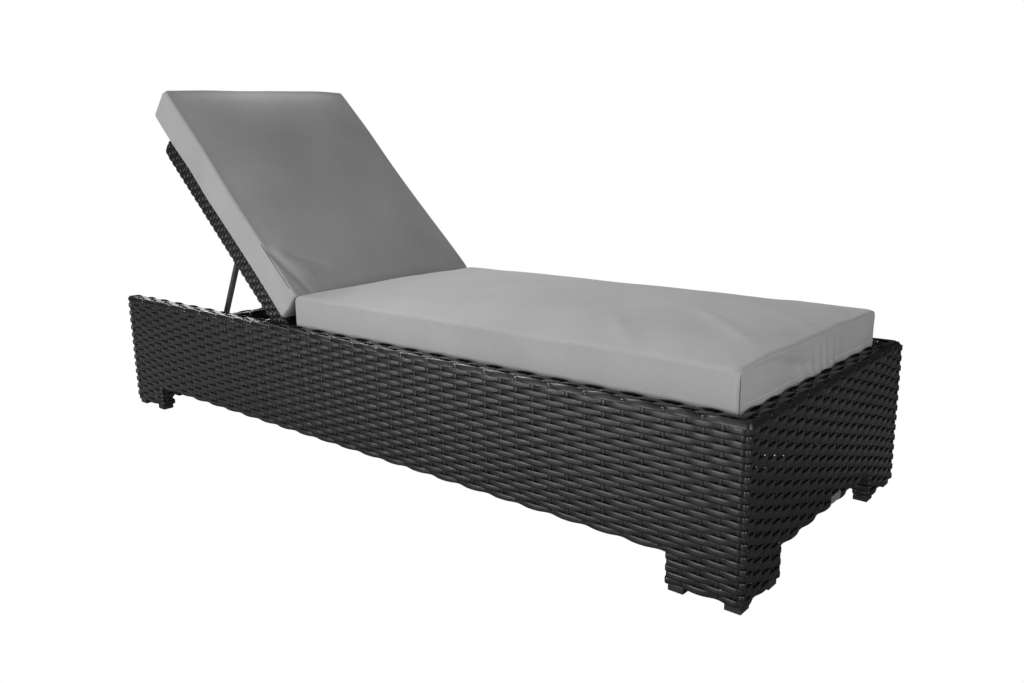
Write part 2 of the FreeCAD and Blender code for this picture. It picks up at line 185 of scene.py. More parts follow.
def fabric_material(name, tone):
    """Plain woven outdoor canvas, slightly mottled."""
    t = Tree(name)
    at = t.object_coords()
    threads = t.noise(t.mapped(at, (900.0, 900.0, 900.0)), 1.0, 2.0, 0.6)
    slub = t.noise(t.mapped(at, (38.0, 170.0, 170.0)), 1.0, 3.0, 0.65)
    mottle = t.noise(at, 5.5, 3.0, 0.55)
    mixed = t.math("MULTIPLY_ADD", slub, 0.30, t.math("MULTIPLY", mottle, 0.70))
    low = tuple(0.93 * c for c in tone)
    high = tuple(1.06 * c for c in tone)
    colour = t.ramp(mixed, [(0.32, low), (0.5, tone), (0.68, high)])
    roughness = t.spread(threads, 0.82, 0.96, 0.3, 0.7)
    soft = t.noise(at, 26.0, 3.0, 0.55, 0.3)
    normal = t.bump(threads, 0.22, 0.0004, t.bump(soft, 0.22, 0.0022))
    t.set(Specular_IOR_Level=0.22, Sheen_Weight=0.10, Sheen_Roughness=0.6)
    return t.finish(colour, roughness, normal)


def metal_paint_material(name, low, high, rough):
    """Powder-coated steel: fine orange peel and a little rubbing wear."""
    t = Tree(name)
    at = t.object_coords()
    peel = t.noise(at, 1400.0, 2.0)
    patches = t.noise(at, 90.0, 3.0, 0.6)
    colour = t.ramp(patches, [(0.35, low), (0.7, high)])
    roughness = t.spread(patches, *rough, 0.3, 0.7)
    t.set(Specular_IOR_Level=0.5, Coat_Weight=0.15, Coat_Roughness=0.25)
    return t.finish(colour, roughness, t.bump(peel, 0.15, 0.0003))


def brushed_material(name, stretch, low, high, rough, metallic, depth):
    """Bare metal, brushed along its shortest stretch."""
    t = Tree(name)
    brushed = t.noise(t.mapped(t.object_coords(), stretch), 1.0, 2.0)
    colour = t.ramp(brushed, [(0.3, low), (0.7, high)])
    t.set(Metallic=metallic)
    return t.finish(colour, t.spread(brushed, *rough), t.bump(brushed, depth, 0.0002))


def plastic_material():
    """Moulded plastic with a fine grain."""
    t = Tree("black_plastic")
    at = t.object_coords()
    grain = t.noise(at, 800.0, 2.0)
    shade = t.noise(at, 40.0, 2.0)
    colour = t.ramp(shade, [(0.3, (0.010, 0.010, 0.010)), (0.7, (0.020, 0.020, 0.020))])
    return t.finish(colour, t.spread(grain, 0.42, 0.6), t.bump(grain, 0.2, 0.0003))


def deck_material():
    """Flat woven panel under the cushions: strands over and under in a checker."""
    t = Tree("deck_weave")
    at = t.object_coords()
    squares = t.mapped(at, (25.0, 86.9, 86.9))
    checker = t.add("ShaderNodeTexChecker", {"Scale": 1.0, "Vector": squares})
    grain = t.noise(t.mapped(at, (30.0, 1500.0, 1500.0)), 1.0, 2.0)
    mixed = t.math("MULTIPLY_ADD", checker.outputs["Fac"], 0.4, t.math("MULTIPLY", grain, 0.6))
    colour = t.ramp(mixed, [(0.2, (0.008, 0.008, 0.008)), (0.8, (0.020, 0.020, 0.020))])
    return t.finish(colour, t.spread(grain, 0.36, 0.52), t.bump(mixed, 0.5, 0.001))


RESIN = resin_material()
FABRIC = fabric_material("cushion_fabric", (0.345, 0.345, 0.342))
PIPING = fabric_material("welt_fabric", (0.40, 0.40, 0.396))
# Dark cloth for the seam cords: painted shade, standing in for the shadow in seams' grooves too narrow for the
# mesh.
SEAM_SHADE = fabric_material("seam_painted_shade", (0.10, 0.10, 0.099))
TUBE = metal_paint_material("frame_tube", (0.040, 0.040, 0.040), (0.062, 0.062, 0.061),
                            (0.34, 0.48))
BLACK = metal_paint_material("black_metal", (0.040, 0.040, 0.040), (0.060, 0.060, 0.060),
                             (0.30, 0.42))
PLATED = brushed_material("fasteners", (60.0, 900.0, 900.0), (0.23, 0.23, 0.24), (0.42, 0.42, 0.43),
                          (0.28, 0.45), 1.0, 0.1)
TAG = brushed_material("tag_metal", (1200.0, 60.0, 60.0), (0.26, 0.26, 0.26), (0.38, 0.38, 0.38),
                       (0.35, 0.5), 0.6, 0.2)
PLASTIC = plastic_material()
DECK = deck_material()

# ---------------------------------------------------------------- paths

BEND_STEPS = 6


class Path:
    """A flat line with rounded corners. Its normal is on the right-hand side of travel."""

    def __init__(self, corners, radius, closed=True):
        corners = np.array(corners, float)
        count = len(corners)
        places, normals, arcs = [], [], []
        for i in range(count):
            here = corners[i]
            if not closed and i in (0, count - 1):
                other = corners[1] if i == 0 else corners[-2]
                heading = (other - here) if i == 0 else (here - other)
                heading = heading / np.linalg.norm(heading)
                places.append(here)
                normals.append((heading[1], -heading[0]))
                continue
            before = here - corners[i - 1]
            after = corners[(i + 1) % count] - here
            before = before / np.linalg.norm(before)
            after = after / np.linalg.norm(after)
            cross = before[0] * after[1] - before[1] * after[0]
            turn = math.atan2(cross, before.dot(after))
            side = 1.0 if turn > 0 else -1.0
            cut = radius * math.tan(abs(turn) / 2)
            left = np.array((-before[1], before[0]))
            centre = here - before * cut + left * side * radius
            first = math.atan2(before[1], before[0])
            mark = len(places)
            for k in range(BEND_STEPS + 1):
                angle = first + turn * k / BEND_STEPS
                right = np.array((math.sin(angle), -math.cos(angle)))
                places.append(centre + side * radius * right)
                normals.append(right)
            arcs.append((mark, mark + BEND_STEPS))
        if closed:
            places.append(places[0])
            normals.append(normals[0])
        self.places = np.array(places)
        self.normals = np.array(normals)
        gaps = np.linalg.norm(np.diff(self.places, axis=0), axis=1)
        self.s = np.concatenate([[0], np.cumsum(gaps)])
        self.total = self.s[-1]
        self.closed = closed
        self.bends = [self.s[a:b + 1] for a, b in arcs]

    def at(self, s):
        if self.closed:
            s = np.mod(s, self.total)
        place = np.stack([np.interp(s, self.s, self.places[:, i]) for i in (0, 1)], 1)
        normal = np.stack([np.interp(s, self.s, self.normals[:, i]) for i in (0, 1)], 1)
        return place, normal / np.linalg.norm(normal, axis=1)[:, None]

    def nearest(self, point):
        """Distance along the path of the place nearest to a point."""
        start = self.places[:-1]
        run = self.places[1:] - start
        size = (run ** 2).sum(1)
        share = ((np.array(point) - start) * run).sum(1) / np.maximum(size, 1e-12)
        share = np.clip(share, 0, 1)
        gap = np.linalg.norm(start + run * share[:, None] - np.array(point), axis=1)
        i = int(gap.argmin())
        return self.s[i] + share[i] * (self.s[i + 1] - self.s[i])


def smoothstep(low, high, value):
    share = np.clip((value - low) / (high - low), 0, 1)
    return share * share * (3 - 2 * share)


# Where a strand is sampled between two crossings, as shares of the way from over to under.
OVER_TO_UNDER = np.array([0.0, 0.30, 0.48, 0.61, 0.72, 0.82, 0.91])
SHORT_RUN = OVER_TO_UNDER[[0, 2, 4, 5]]
EVEN_RUN = np.array([0.0, 0.5])
DIP = 1.5


def crossing(share):
    """Height of a strand between the top of one crossing (1) and the bottom of the next (-1)."""
    return 1 - 2 * ((1 - np.cos(np.pi * share)) / 2) ** DIP


# Sections of a strand and of a flat strip, as shares of (width, thickness).
DOME = np.array([(-.5, -.08), (-.45, .24), (-.26, .42), (.26, .42), (.45, .24), (.5, -.08),
                 (.36, -.46), (-.36, -.46)])
STRIP = np.array([(-.5, -.1), (-.42, .45), (.42, .45), (.5, -.1), (.4, -.45), (-.4, -.45)])


def random_row():
    """A place for a strand across the resin's texture, which no other strand is likely to share."""
    return 0.5 * int(rng.integers(0, 4000))


class Weave:
    """Gathers strands, then makes them into one mesh."""

    def __init__(self):
        self.points, self.faces, self.uvs, self.count = [], [], [], 0

    def band(self, centre, normal, across, width, thick, closed, section):
        """Sweeps a section along the centre line, with its own place in the strand texture."""
        n, m = len(centre), len(section)
        if closed:
            ahead, behind = np.roll(centre, -1, 0), np.roll(centre, 1, 0)
        else:
            ahead = np.concatenate([centre[1:], centre[-1:]])
            behind = np.concatenate([centre[:1], centre[:-1]])
        heading = ahead - behind
        heading /= np.linalg.norm(heading, axis=1)[:, None]
        normal = normal - heading * (normal * heading).sum(1)[:, None]
        normal /= np.linalg.norm(normal, axis=1)[:, None]
        width = np.broadcast_to(width, (n,))
        thick = np.broadcast_to(thick, (n,))
        rings = (centre[:, None]
                 + across[:, None] * (width[:, None] * section[None, :, 0])[..., None]
                 + normal[:, None] * (thick[:, None] * section[None, :, 1])[..., None])
        hand = (np.cross(heading, across) * normal).sum(1).mean()
        steps = n if closed else n - 1
        i = np.repeat(np.arange(steps), m)
        j = np.tile(np.arange(m), steps)
        i2, j2 = (i + 1) % n, (j + 1) % m
        quads = np.stack([i * m + j, i2 * m + j, i2 * m + j2, i * m + j2], 1)
        gaps = np.linalg.norm(ahead - centre, axis=1)
        s = np.concatenate([[0], np.cumsum(gaps)])[:steps + 1] + rng.uniform(0, 40)
        rim = section[:, 0] * float(width.mean())
        row = random_row()
        u = np.stack([s[i], s[i + 1], s[i + 1], s[i]], 1)
        v = np.stack([rim[j], rim[j], rim[j2], rim[j2]], 1) + row
        uv = np.stack([u, v], 2)
        if hand < 0:
            quads = quads[:, ::-1]
            uv = uv[:, ::-1]
        self.points.append(rings.reshape(-1, 3))
        self.faces.append(quads + self.count)
        self.uvs.append(uv.reshape(-1, 2))
        if not closed:
            for ring, flip in ((0, hand > 0), (n - 1, hand < 0)):
                order = np.arange(m)[::-1] if not flip else np.arange(m)
                half = m // 2
                loop = order + ring * m
                for k in range(half - 1):
                    cap = np.array([[loop[k], loop[k + 1], loop[m - 2 - k], loop[m - 1 - k]]])
                    self.faces.append(cap + self.count)
                    self.uvs.append(np.tile([s[0], row], (4, 1)))
        self.count += n * m

    def make(self, name, body, material=RESIN, replaces=()):
        points = np.concatenate(self.points)
        faces = np.concatenate(self.faces)
        mesh = bpy.data.meshes.new(name)
        mesh.vertices.add(len(points))
        mesh.vertices.foreach_set("co", points.astype(np.float32).ravel())
        mesh.loops.add(len(faces) * 4)
        mesh.loops.foreach_set("vertex_index", faces.astype(np.int32).ravel())
        mesh.polygons.add(len(faces))
        mesh.polygons.foreach_set("loop_start", np.arange(0, len(faces) * 4, 4, dtype=np.int32))
        layer = mesh.uv_layers.new(name="strand")
        mesh.update(calc_edges=True)
        layer.data.foreach_set("uv", np.concatenate(self.uvs).astype(np.float32).ravel())
        mesh.polygons.foreach_set("use_smooth", np.ones(len(faces), bool))
        mesh.validate()
        mesh.materials.append(material)
        piece = new_object(name, mesh)
        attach(piece, body)
        if replaces:
            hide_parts(*replaces)
        return piece


class Plane:
    """Places flat paths in space: a and b are in the plane, and w is square to it."""

    def __init__(self, origin, a, b, w):
        self.origin, self.a, self.b, self.w = (np.array(v, float) for v in (origin, a, b, w))

    def lift(self, flat, level):
        return self.origin + self.turn(flat) + np.reshape(level, (-1, 1)) * self.w

    def turn(self, flat):
        return flat[:, :1] * self.a + flat[:, 1:] * self.b


FLOOR_PLAN = Plane((0, 0, 0), (1, 0, 0), (0, 1, 0), (0, 0, 1))
# A strand: its thickness, width, how far it swings over and under a stake, and how much wider it
# is on top of one than under it.
THICK = 0.0024
STRAND_WIDTH = 0.0119
SWING = 0.0023
SPLAY = 0.07
STAKE_THICK = 0.0016
STAKE_SWING = 0.0006
STAKE_SINK = 0.0010
# How far the weave's middle lies inside the wall's face, its corners' radius there, the height
# from row to row, and the top row.
FACE = SWING + THICK / 2 + 0.0001
CORNER = 0.0038
PITCH = 0.01128
ROW_0 = WALL_TOP - 0.0165
# A bend's sample is left out this close to another, so that no two rings fall together.
MIN_GAP = 0.0006
# What sets a stake apart from a strand.
STAKE = {"width": 0.0095, "thick": STAKE_THICK, "swing": STAKE_SWING, "section": STRIP,
         "loose": 0.3, "shares": EVEN_RUN, "even": True, "splay": 0.0, "sink": STAKE_SINK}


def strand(weave, path, plane, level, stations, tilt=90.0, width=STRAND_WIDTH, thick=THICK,
           swing=SWING, section=DOME, loose=1.0, shares=OVER_TO_UNDER, even=False, splay=SPLAY,
           sink=0.0):
    """One strand along a path. stations are (distance, +1 over or -1 under). tilt turns its face
    from the plane's w (0) to the path's own normal (90), and loose is how irregular it is."""
    stations = sorted(stations)
    places = np.array([p for p, _ in stations])
    sides = np.array([q for _, q in stations], float)
    if path.closed:
        places = np.append(places, places[0] + path.total)
        sides = np.append(sides, sides[0])
    else:
        places = np.concatenate([[0], places, [path.total]])
        sides = np.concatenate([[sides[0]], sides, [sides[-1]]])
    samples = []
    for i in range(len(places) - 1):
        run = places[i + 1] - places[i]
        if run < 1e-6:
            continue
        if sides[i] == sides[i + 1]:
            share = np.array([0.0, 0.5])
        elif even:
            share = np.linspace(0, 1, len(shares), endpoint=False)
        else:
            share = shares if sides[i] > sides[i + 1] else np.append(0.0, 1 - shares[:0:-1])
        samples.append(places[i] + run * share)
    samples = np.concatenate(samples)
    if not path.closed:
        samples = np.append(samples, path.total)
    if path.bends:
        bends = np.concatenate(path.bends)
        if path.closed:
            bends = np.where(bends < places[0], bends + path.total, bends)
        far = np.abs(bends[:, None] - samples[None]).min(1) > MIN_GAP
        samples = np.sort(np.concatenate([samples, bends[far]]))
        samples = samples[np.concatenate([[True], np.diff(samples) > 1e-5])]
    i = np.clip(np.searchsorted(places, samples, side="right") - 1, 0, len(places) - 2)
    share = (samples - places[i]) / np.maximum(places[i + 1] - places[i], 1e-9)
    down, up = sides[i], sides[i + 1]
    height = np.where(down == up, down, np.where(down > up, crossing(share), crossing(1 - share)))
    jitter = rng.normal(0, 1, (3, len(places)))
    if path.closed:
        jitter[:, -1] = jitter[:, 0]
    mixed = jitter[:, i] * (1 - share) + jitter[:, i + 1] * share
    width = width * (1 + splay * height) * (1 + 0.02 * loose * np.clip(mixed[2], -2, 2))
    height = height * (1 + 0.07 * loose * np.clip(mixed[0], -2, 2)) * swing - sink
    drift = loose * 0.00025 * np.clip(mixed[1], -2, 2)
    flat, side = path.at(samples)
    angle = math.radians(tilt)
    side3, w3 = plane.turn(side), plane.w[None]
    normal = side3 * math.sin(angle) + w3 * math.cos(angle)
    across = side3 * math.cos(angle) - w3 * math.sin(angle)
    centre = plane.lift(flat, level) + normal * height[:, None] + across * drift[:, None]
    weave.band(centre, normal, across, width, thick, path.closed, section)


def row_side(parity, row):
    """+1 where the strand of this row passes over the stake, -1 where it passes under."""
    return 1 if (parity + row) % 2 else -1


# ---------------------------------------------------------------- stakes of the base

# Stakes on a leg's arm, from its corner, and the stake pitches between two legs.
LEG_GAPS = [0.017, 0.051, 0.085, 0.119]
END_PITCHES, SIDE_PITCHES = 13, 44

TOUCH = 1e-6


def stake_places(length, pitches):
    """Distances from the first corner of every stake along one side."""
    inner = list(np.linspace(LEG_GAPS[-1], length - LEG_GAPS[-1], pitches + 1))
    return LEG_GAPS[:-1] + inner + [length - gap for gap in LEG_GAPS[:-1][::-1]]


foot_x = [d - HALF_X for d in stake_places(2 * HALF_X, END_PITCHES)]
side_y = [d - HALF_Y for d in stake_places(2 * HALF_Y, SIDE_PITCHES)]
# Every outer stake in turn round the base. Its number says whether it is odd or even.
around = ([(-HALF_X, -HALF_Y)] + [(x, -HALF_Y) for x in foot_x]
          + [(HALF_X, -HALF_Y)] + [(HALF_X, y) for y in side_y]
          + [(HALF_X, HALF_Y)] + [(x, HALF_Y) for x in foot_x[::-1]]
          + [(-HALF_X, HALF_Y)] + [(-HALF_X, y) for y in side_y[::-1]])
outer_stakes = [(place, number) for number, place in enumerate(around)]
parity_at = {(round(p[0], 4), round(p[1], 4)): q for p, q in outer_stakes}


def outer_parity(x, y):
    return parity_at[(round(x, 4), round(y, 4))]


inner_ends = foot_x[1:-1]
inner_sides = side_y[1:-1]
inner_stakes = {
    "right": [((INNER_X, y), outer_parity(HALF_X, y) + 1) for y in inner_sides],
    "left": [((-INNER_X, y), outer_parity(-HALF_X, y) + 1) for y in inner_sides],
    "foot": [((x, -INNER_Y), outer_parity(x, -HALF_Y) + 1) for x in inner_ends],
    "head": [((x, INNER_Y), outer_parity(x, HALF_Y) + 1) for x in inner_ends],
}


def on_path(path, stakes, row):
    return [(path.nearest(place), row_side(parity, row)) for place, parity in stakes]


# ---------------------------------------------------------------- rows of the base

X, Y = HALF_X - FACE, HALF_Y - FACE
IX, IY = INNER_X + FACE, INNER_Y + FACE
outer_ring = Path([(-X, -Y), (X, -Y), (X, Y), (-X, Y)], CORNER)
inner_ring = Path([(IX, IY), (IX, -IY), (-IX, -IY), (-IX, IY)], CORNER)
horseshoe = Path([(-X, -Y), (X, -Y), (X, Y), (IX, Y), (IX, -IY), (-IX, -IY), (-IX, Y), (-X, Y)],
                 CORNER)
horseshoe_stakes = [((x, y), number) for (x, y), number in outer_stakes
                    if y < HALF_Y - TOUCH or abs(x) > INNER_X]
horseshoe_stakes += inner_stakes["right"] + inner_stakes["left"] + inner_stakes["foot"]
inner_all = sum(inner_stakes.values(), [])

# Rows above the head wall, rows down to the skirt's edge, and rows down to the legs' feet.
UPPER_ROWS = 9
WALL_ROWS = 22
LEG_ROWS = 27
WALL_NODES = ["weave_side_left", "weave_side_right", "weave_foot_end"]


def rows_piece(name, rows, path, stakes, replaces=(), **look):
    """Rows of strands along one path as a piece of the base."""
    weave = Weave()
    for row in rows:
        strand(weave, path, FLOOR_PLAN, ROW_0 - PITCH * row, on_path(path, stakes, row), **look)
    weave.make(name, "base", replaces=replaces)


# Above the head wall a row goes round the other three walls and back along their inner faces.
for number, first in enumerate((0, 3, 6), 1):
    rows_piece(f"weave_rows_upper_{number}", range(first, first + 3), horseshoe, horseshoe_stakes,
               WALL_NODES if first == 0 else ())
for number, first, last in ((1, UPPER_ROWS, 15), (2, 15, WALL_ROWS)):
    rows_piece(f"weave_rows_lower_{number}", range(first, last), outer_ring, outer_stakes,
               ["weave_head_end"] if first == UPPER_ROWS else ())
    rows_piece(f"weave_rows_inside_{number}", range(first, last), inner_ring, inner_all,
               loose=0.6, shares=SHORT_RUN)

# ---------------------------------------------------------------- top and bottom edges

# The rim strand leans over the walls' rounded top edge, and a second one lies flat inside it.
EDGE_R = 0.0090
EDGE_TILT = 60.0
edge_reach = EDGE_R - FACE
edge_inset = EDGE_R - edge_reach * math.sin(math.radians(EDGE_TILT))
edge_drop = EDGE_R - edge_reach * math.cos(math.radians(EDGE_TILT))
SECOND_INSET = 0.0160


def horseshoe_inset(d):
    """The top face of the three high walls, drawn in by d."""
    x, y, ix, iy = HALF_X - d, HALF_Y - d, INNER_X + d, INNER_Y + d
    return [(-x, -y), (x, -y), (x, y), (ix, y), (ix, -iy), (-ix, -iy), (-ix, y), (-x, y)]


def on_rim(x, y):
    """The edge strands skip the stakes beside a corner, but not the one on it."""
    on_corner = abs(abs(x) - HALF_X) < 1e-4 and abs(abs(y) - HALF_Y) < 1e-4
    beside = abs(abs(y) - HALF_Y) <= 0.03 and abs(x) >= HALF_X - 0.03
    return on_corner or not beside


top_stakes = [((x, y), number) for (x, y), number in horseshoe_stakes if on_rim(x, y)]
edges = Weave()
rim = Path(horseshoe_inset(edge_inset), 0.006)
strand(edges, rim, FLOOR_PLAN, WALL_TOP - edge_drop, on_path(rim, top_stakes, -1), tilt=EDGE_TILT,
       width=0.0122)
second = Path(horseshoe_inset(SECOND_INSET), 0.006)
strand(edges, second, FLOOR_PLAN, WALL_TOP - FACE, on_path(second, top_stakes, -2), tilt=0.0,
       width=0.0118)
head_reach = INNER_X + 0.012
for inset, tilt, row, inside in ((edge_inset, EDGE_TILT, UPPER_ROWS - 1, False),
                                 (SECOND_INSET, 0.0, UPPER_ROWS - 2, False),
                                 (SECOND_INSET, 0.0, UPPER_ROWS - 2, True),
                                 (edge_inset, EDGE_TILT, UPPER_ROWS - 1, True)):
    y = INNER_Y + inset if inside else HALF_Y - inset
    reach = -head_reach if inside else head_reach
    line = Path([(reach, y), (-reach, y)], 0.004, closed=False)
    drop = edge_drop if tilt else FACE
    stakes = [((x, y), outer_parity(x, HALF_Y) + (1 if inside else 0)) for x in inner_ends]
    strand(edges, line, FLOOR_PLAN, HEAD_TOP - drop, on_path(line, stakes, row), tilt=tilt,
           width=0.0122)
edges.make("weave_top_edges", "base")


def underside(weave, corners, level, stakes):
    """Two loops under a wall or leg, facing the floor. corners(d) is its outline drawn in by d."""
    for turn, inset in enumerate((0.010, 0.018)):
        loop = Path(corners(inset), 0.003)
        strand(weave, loop, FLOOR_PLAN, level + FACE, on_path(loop, stakes, turn), tilt=180.0,
               width=0.0086, shares=OVER_TO_UNDER[[0, 3, 5]], loose=0.4)


def rectangle(x0, x1, y0, y1):
    return lambda d: [(x0 + d, y0 + d), (x1 - d, y0 + d), (x1 - d, y1 - d), (x0 + d, y1 - d)]


def leg_outline(sx, sy):
    """The L of one leg, counterclockwise, drawn in by d."""
    def corners(d):
        arm, wall = LEG - d, WALL - d
        shape = [(d, d), (arm, d), (arm, wall), (wall, wall), (wall, arm), (d, arm)]
        placed = [(sx * (HALF_X - a), sy * (HALF_Y - b)) for a, b in shape]
        return placed[::-1] if sx * sy < 0 else placed
    return corners


unders = Weave()
# A wall's underside ends just inside the legs.
span_x, span_y = HALF_X - LEG + 0.001, HALF_Y - LEG + 0.001
for sign in (-1, 1):
    x0, x1 = sorted((sign * INNER_X, sign * HALF_X))
    stakes = [((sign * x, y), outer_parity(sign * HALF_X, y) + extra)
              for y in side_y if abs(y) < span_y - 0.01 for x, extra in ((HALF_X, 0), (INNER_X, 1))]
    underside(unders, rectangle(x0, x1, -span_y, span_y), SKIRT, stakes)
for sign in (-1, 1):
    y0, y1 = sorted((sign * INNER_Y, sign * HALF_Y))
    stakes = [((x, sign * y), outer_parity(x, sign * HALF_Y) + extra)
              for x in foot_x if abs(x) < span_x - 0.01 for y, extra in ((HALF_Y, 0), (INNER_Y, 1))]
    underside(unders, rectangle(-span_x, span_x, y0, y1), SKIRT, stakes)

# ---------------------------------------------------------------- legs

# Each leg's signs of x and y, and its name.
LEG_NAMES = {(-1, -1): "foot_left", (1, -1): "foot_right",
             (-1, 1): "head_left", (1, 1): "head_right"}


def leg_stakes(sx, sy):
    """The stakes a leg's rows pass: its corner, both faces of its arms and their ends."""
    ox, oy, ix, iy = sx * HALF_X, sy * HALF_Y, sx * INNER_X, sy * INNER_Y
    found = [((ox, oy), outer_parity(ox, oy))]
    for d in LEG_GAPS:
        x, y = sx * (HALF_X - d), sy * (HALF_Y - d)
        by_side, by_end = outer_parity(ox, y), outer_parity(x, oy)
        found += [((ox, y), by_side), ((x, oy), by_end)]
        if d > WALL:
            found += [((ix, y), by_side + 1), ((x, iy), by_end + 1)]
    # The stake in the middle of an arm's end comes after the arm's last one.
    found.append(((sx * (HALF_X - WALL / 2), sy * (HALF_Y - LEG)), by_side + 1))
    found.append(((sx * (HALF_X - LEG), sy * (HALF_Y - WALL / 2)), by_end + 1))
    return found


for (sx, sy), leg_name in LEG_NAMES.items():
    weave = Weave()
    stakes = leg_stakes(sx, sy)
    loop = Path(leg_outline(sx, sy)(FACE), CORNER)
    for row in range(WALL_ROWS, LEG_ROWS):
        strand(weave, loop, FLOOR_PLAN, ROW_0 - PITCH * row, on_path(loop, stakes, row))
    underside(weave, leg_outline(sx, sy), LEG_BOTTOM, stakes)
    weave.make("weave_leg_rows_" + leg_name, "base", replaces=["weave_leg_" + leg_name])

# ---------------------------------------------------------------- stake strips of the base

def stake_loop(weave, plane, low, inner_face, outer_face, top, parity, rows):
    """A stake round a wall: up its outer face, over the top, down its inner face, back under.
    Faces and heights are (coordinate in the plane, z)."""
    sign = 1 if outer_face > inner_face else -1
    out_m, in_m = outer_face - sign * FACE, inner_face + sign * FACE
    corners = [(out_m, low + FACE), (out_m, top - FACE), (in_m, top - FACE), (in_m, low + FACE)]
    if sign < 0:
        corners = corners[::-1]
    loop = Path(corners, EDGE_R - FACE)
    stations = []
    for row in rows:
        z = ROW_0 - PITCH * row
        stations.append((loop.nearest((out_m, z)), -row_side(parity, row)))
        stations.append((loop.nearest((in_m, z)), -row_side(parity + 1, row)))
    for back, inset, drop in ((1, edge_inset, edge_drop), (2, SECOND_INSET, FACE)):
        z, row = top - drop, rows[0] - back
        stations.append((loop.nearest((outer_face - sign * inset, z)), -row_side(parity, row)))
        stations.append((loop.nearest((inner_face + sign * inset, z)), -row_side(parity + 1, row)))
    strand(weave, loop, plane, 0.0, stations, **STAKE)


def cross_plane_x(y):
    """Plane across a side wall at y: a is x, b is z."""
    return Plane((0, y, 0), (1, 0, 0), (0, 0, 1), (0, 1, 0))


def cross_plane_y(x):
    """Plane across an end wall at x: a is y, b is z."""
    return Plane((x, 0, 0), (0, 1, 0), (0, 0, 1), (1, 0, 0))


for side, side_name in ((-1, "left"), (1, "right")):
    weave = Weave()
    for y in inner_sides:
        on_leg = abs(y) > HALF_Y - LEG
        low = LEG_BOTTOM if on_leg else SKIRT
        rows = range(LEG_ROWS if on_leg else WALL_ROWS)
        stake_loop(weave, cross_plane_x(y), low, side * INNER_X, side * HALF_X, WALL_TOP,
                   outer_parity(side * HALF_X, y), rows)
    weave.make("weave_stakes_side_" + side_name, "base")
weave = Weave()
for end in (-1, 1):
    for x in inner_ends:
        on_leg = abs(x) > HALF_X - LEG
        low = LEG_BOTTOM if on_leg else SKIRT
        first = 0 if end < 0 else UPPER_ROWS
        rows = range(first, LEG_ROWS if on_leg else WALL_ROWS)
        stake_loop(weave, cross_plane_y(x), low, end * INNER_Y, end * HALF_Y,
                   WALL_TOP if end < 0 else HEAD_TOP, outer_parity(x, end * HALF_Y), rows)
weave.make("weave_stakes_ends", "base")


ARC_POINTS = 7


def corner_stake(weave, corner_x, corner_y, mid, z0, z1, parity, rows):
    """A strip bent round a vertical edge, in and out with the rows."""
    levels = np.array([ROW_0 - PITCH * row for row in rows])[::-1]
    sides = np.array([-row_side(parity, row) for row in rows], float)[::-1]
    z = np.linspace(z0, z1, int((z1 - z0) / 0.0029) + 2)
    swing = STAKE_SWING * np.interp(z, levels, sides) - STAKE_SINK
    spread = np.radians(np.linspace(-62, 62, ARC_POINTS)) + mid
    outer = np.stack([np.cos(spread), np.sin(spread)], 1)
    points = []
    for level, move in zip(z, swing):
        for radius, ring in ((CORNER + move + STAKE_THICK / 2, outer),
                             (CORNER + move - STAKE_THICK / 2, outer[::-1])):
            flat = ring * radius
            height = np.full(len(flat), level)
            points.append(np.column_stack([corner_x + flat[:, 0], corner_y + flat[:, 1], height]))
    ring_size = 2 * ARC_POINTS
    points = np.concatenate(points)
    n = len(z)
    i = np.repeat(np.arange(n - 1), ring_size)
    j = np.tile(np.arange(ring_size), n - 1)
    j2 = (j + 1) % ring_size
    below, above = i * ring_size, (i + 1) * ring_size
    quads = np.stack([below + j, below + j2, above + j2, above + j], 1)
    around = np.concatenate([np.linspace(0, 0.011, ARC_POINTS), np.linspace(0.011, 0, ARC_POINTS)])
    u = np.stack([z[i], z[i], z[i + 1], z[i + 1]], 1)
    v = np.stack([around[j], around[j2], around[j2], around[j]], 1) + random_row()
    weave.points.append(points)
    weave.faces.append(quads + weave.count)
    weave.uvs.append(np.stack([u, v], 2).reshape(-1, 2))
    weave.count += len(points)


posts = Weave()
for (sx, sy), leg_name in LEG_NAMES.items():
    ox, oy = sx * HALF_X, sy * HALF_Y
    corner_stake(posts, sx * (X - CORNER), sy * (Y - CORNER), math.atan2(sy, sx),
                 LEG_BOTTOM + 0.001, WALL_TOP - EDGE_R, outer_parity(ox, oy), range(LEG_ROWS))
    # The stake next to each corner only runs up the outer face and turns in over the top.
    x, y = sx * (HALF_X - LEG_GAPS[0]), sy * (HALF_Y - LEG_GAPS[0])
    for plane, face, across, parity in ((cross_plane_x(y), ox, sx, outer_parity(ox, y)),
                                        (cross_plane_y(x), oy, sy, outer_parity(x, oy))):
        out_m = face - across * FACE
        corners = [(out_m, LEG_BOTTOM + FACE), (out_m, WALL_TOP - FACE),
                   (out_m - across * 0.030, WALL_TOP - FACE)]
        line = Path(corners if across > 0 else corners[::-1], EDGE_R - FACE, closed=False)
        stations = [(line.nearest((out_m, ROW_0 - PITCH * row)), -row_side(parity, row))
                    for row in range(LEG_ROWS)]
        under_rim = (face - across * edge_inset, WALL_TOP - edge_drop)
        stations.append((line.nearest(under_rim), -row_side(parity, -1)))
        strand(posts, line, plane, 0.0, stations, **STAKE)
    # A leg's two end faces have one stake each.
    for plane, face, out in ((cross_plane_y(sx * (HALF_X - WALL / 2)), sy * (HALF_Y - LEG), -sy),
                             (cross_plane_x(sy * (HALF_Y - WALL / 2)), sx * (HALF_X - LEG), -sx)):
        out_m = face - out * FACE
        corners = [(out_m, LEG_BOTTOM + 0.001), (out_m, SKIRT + 0.004)]
        line = Path(corners if out > 0 else corners[::-1], 0.003, closed=False)
        stations = [(line.nearest((out_m, ROW_0 - PITCH * row)), -row_side(row, 0))
                    for row in range(WALL_ROWS, LEG_ROWS)]
        strand(posts, line, plane, 0.0, stations, **STAKE)
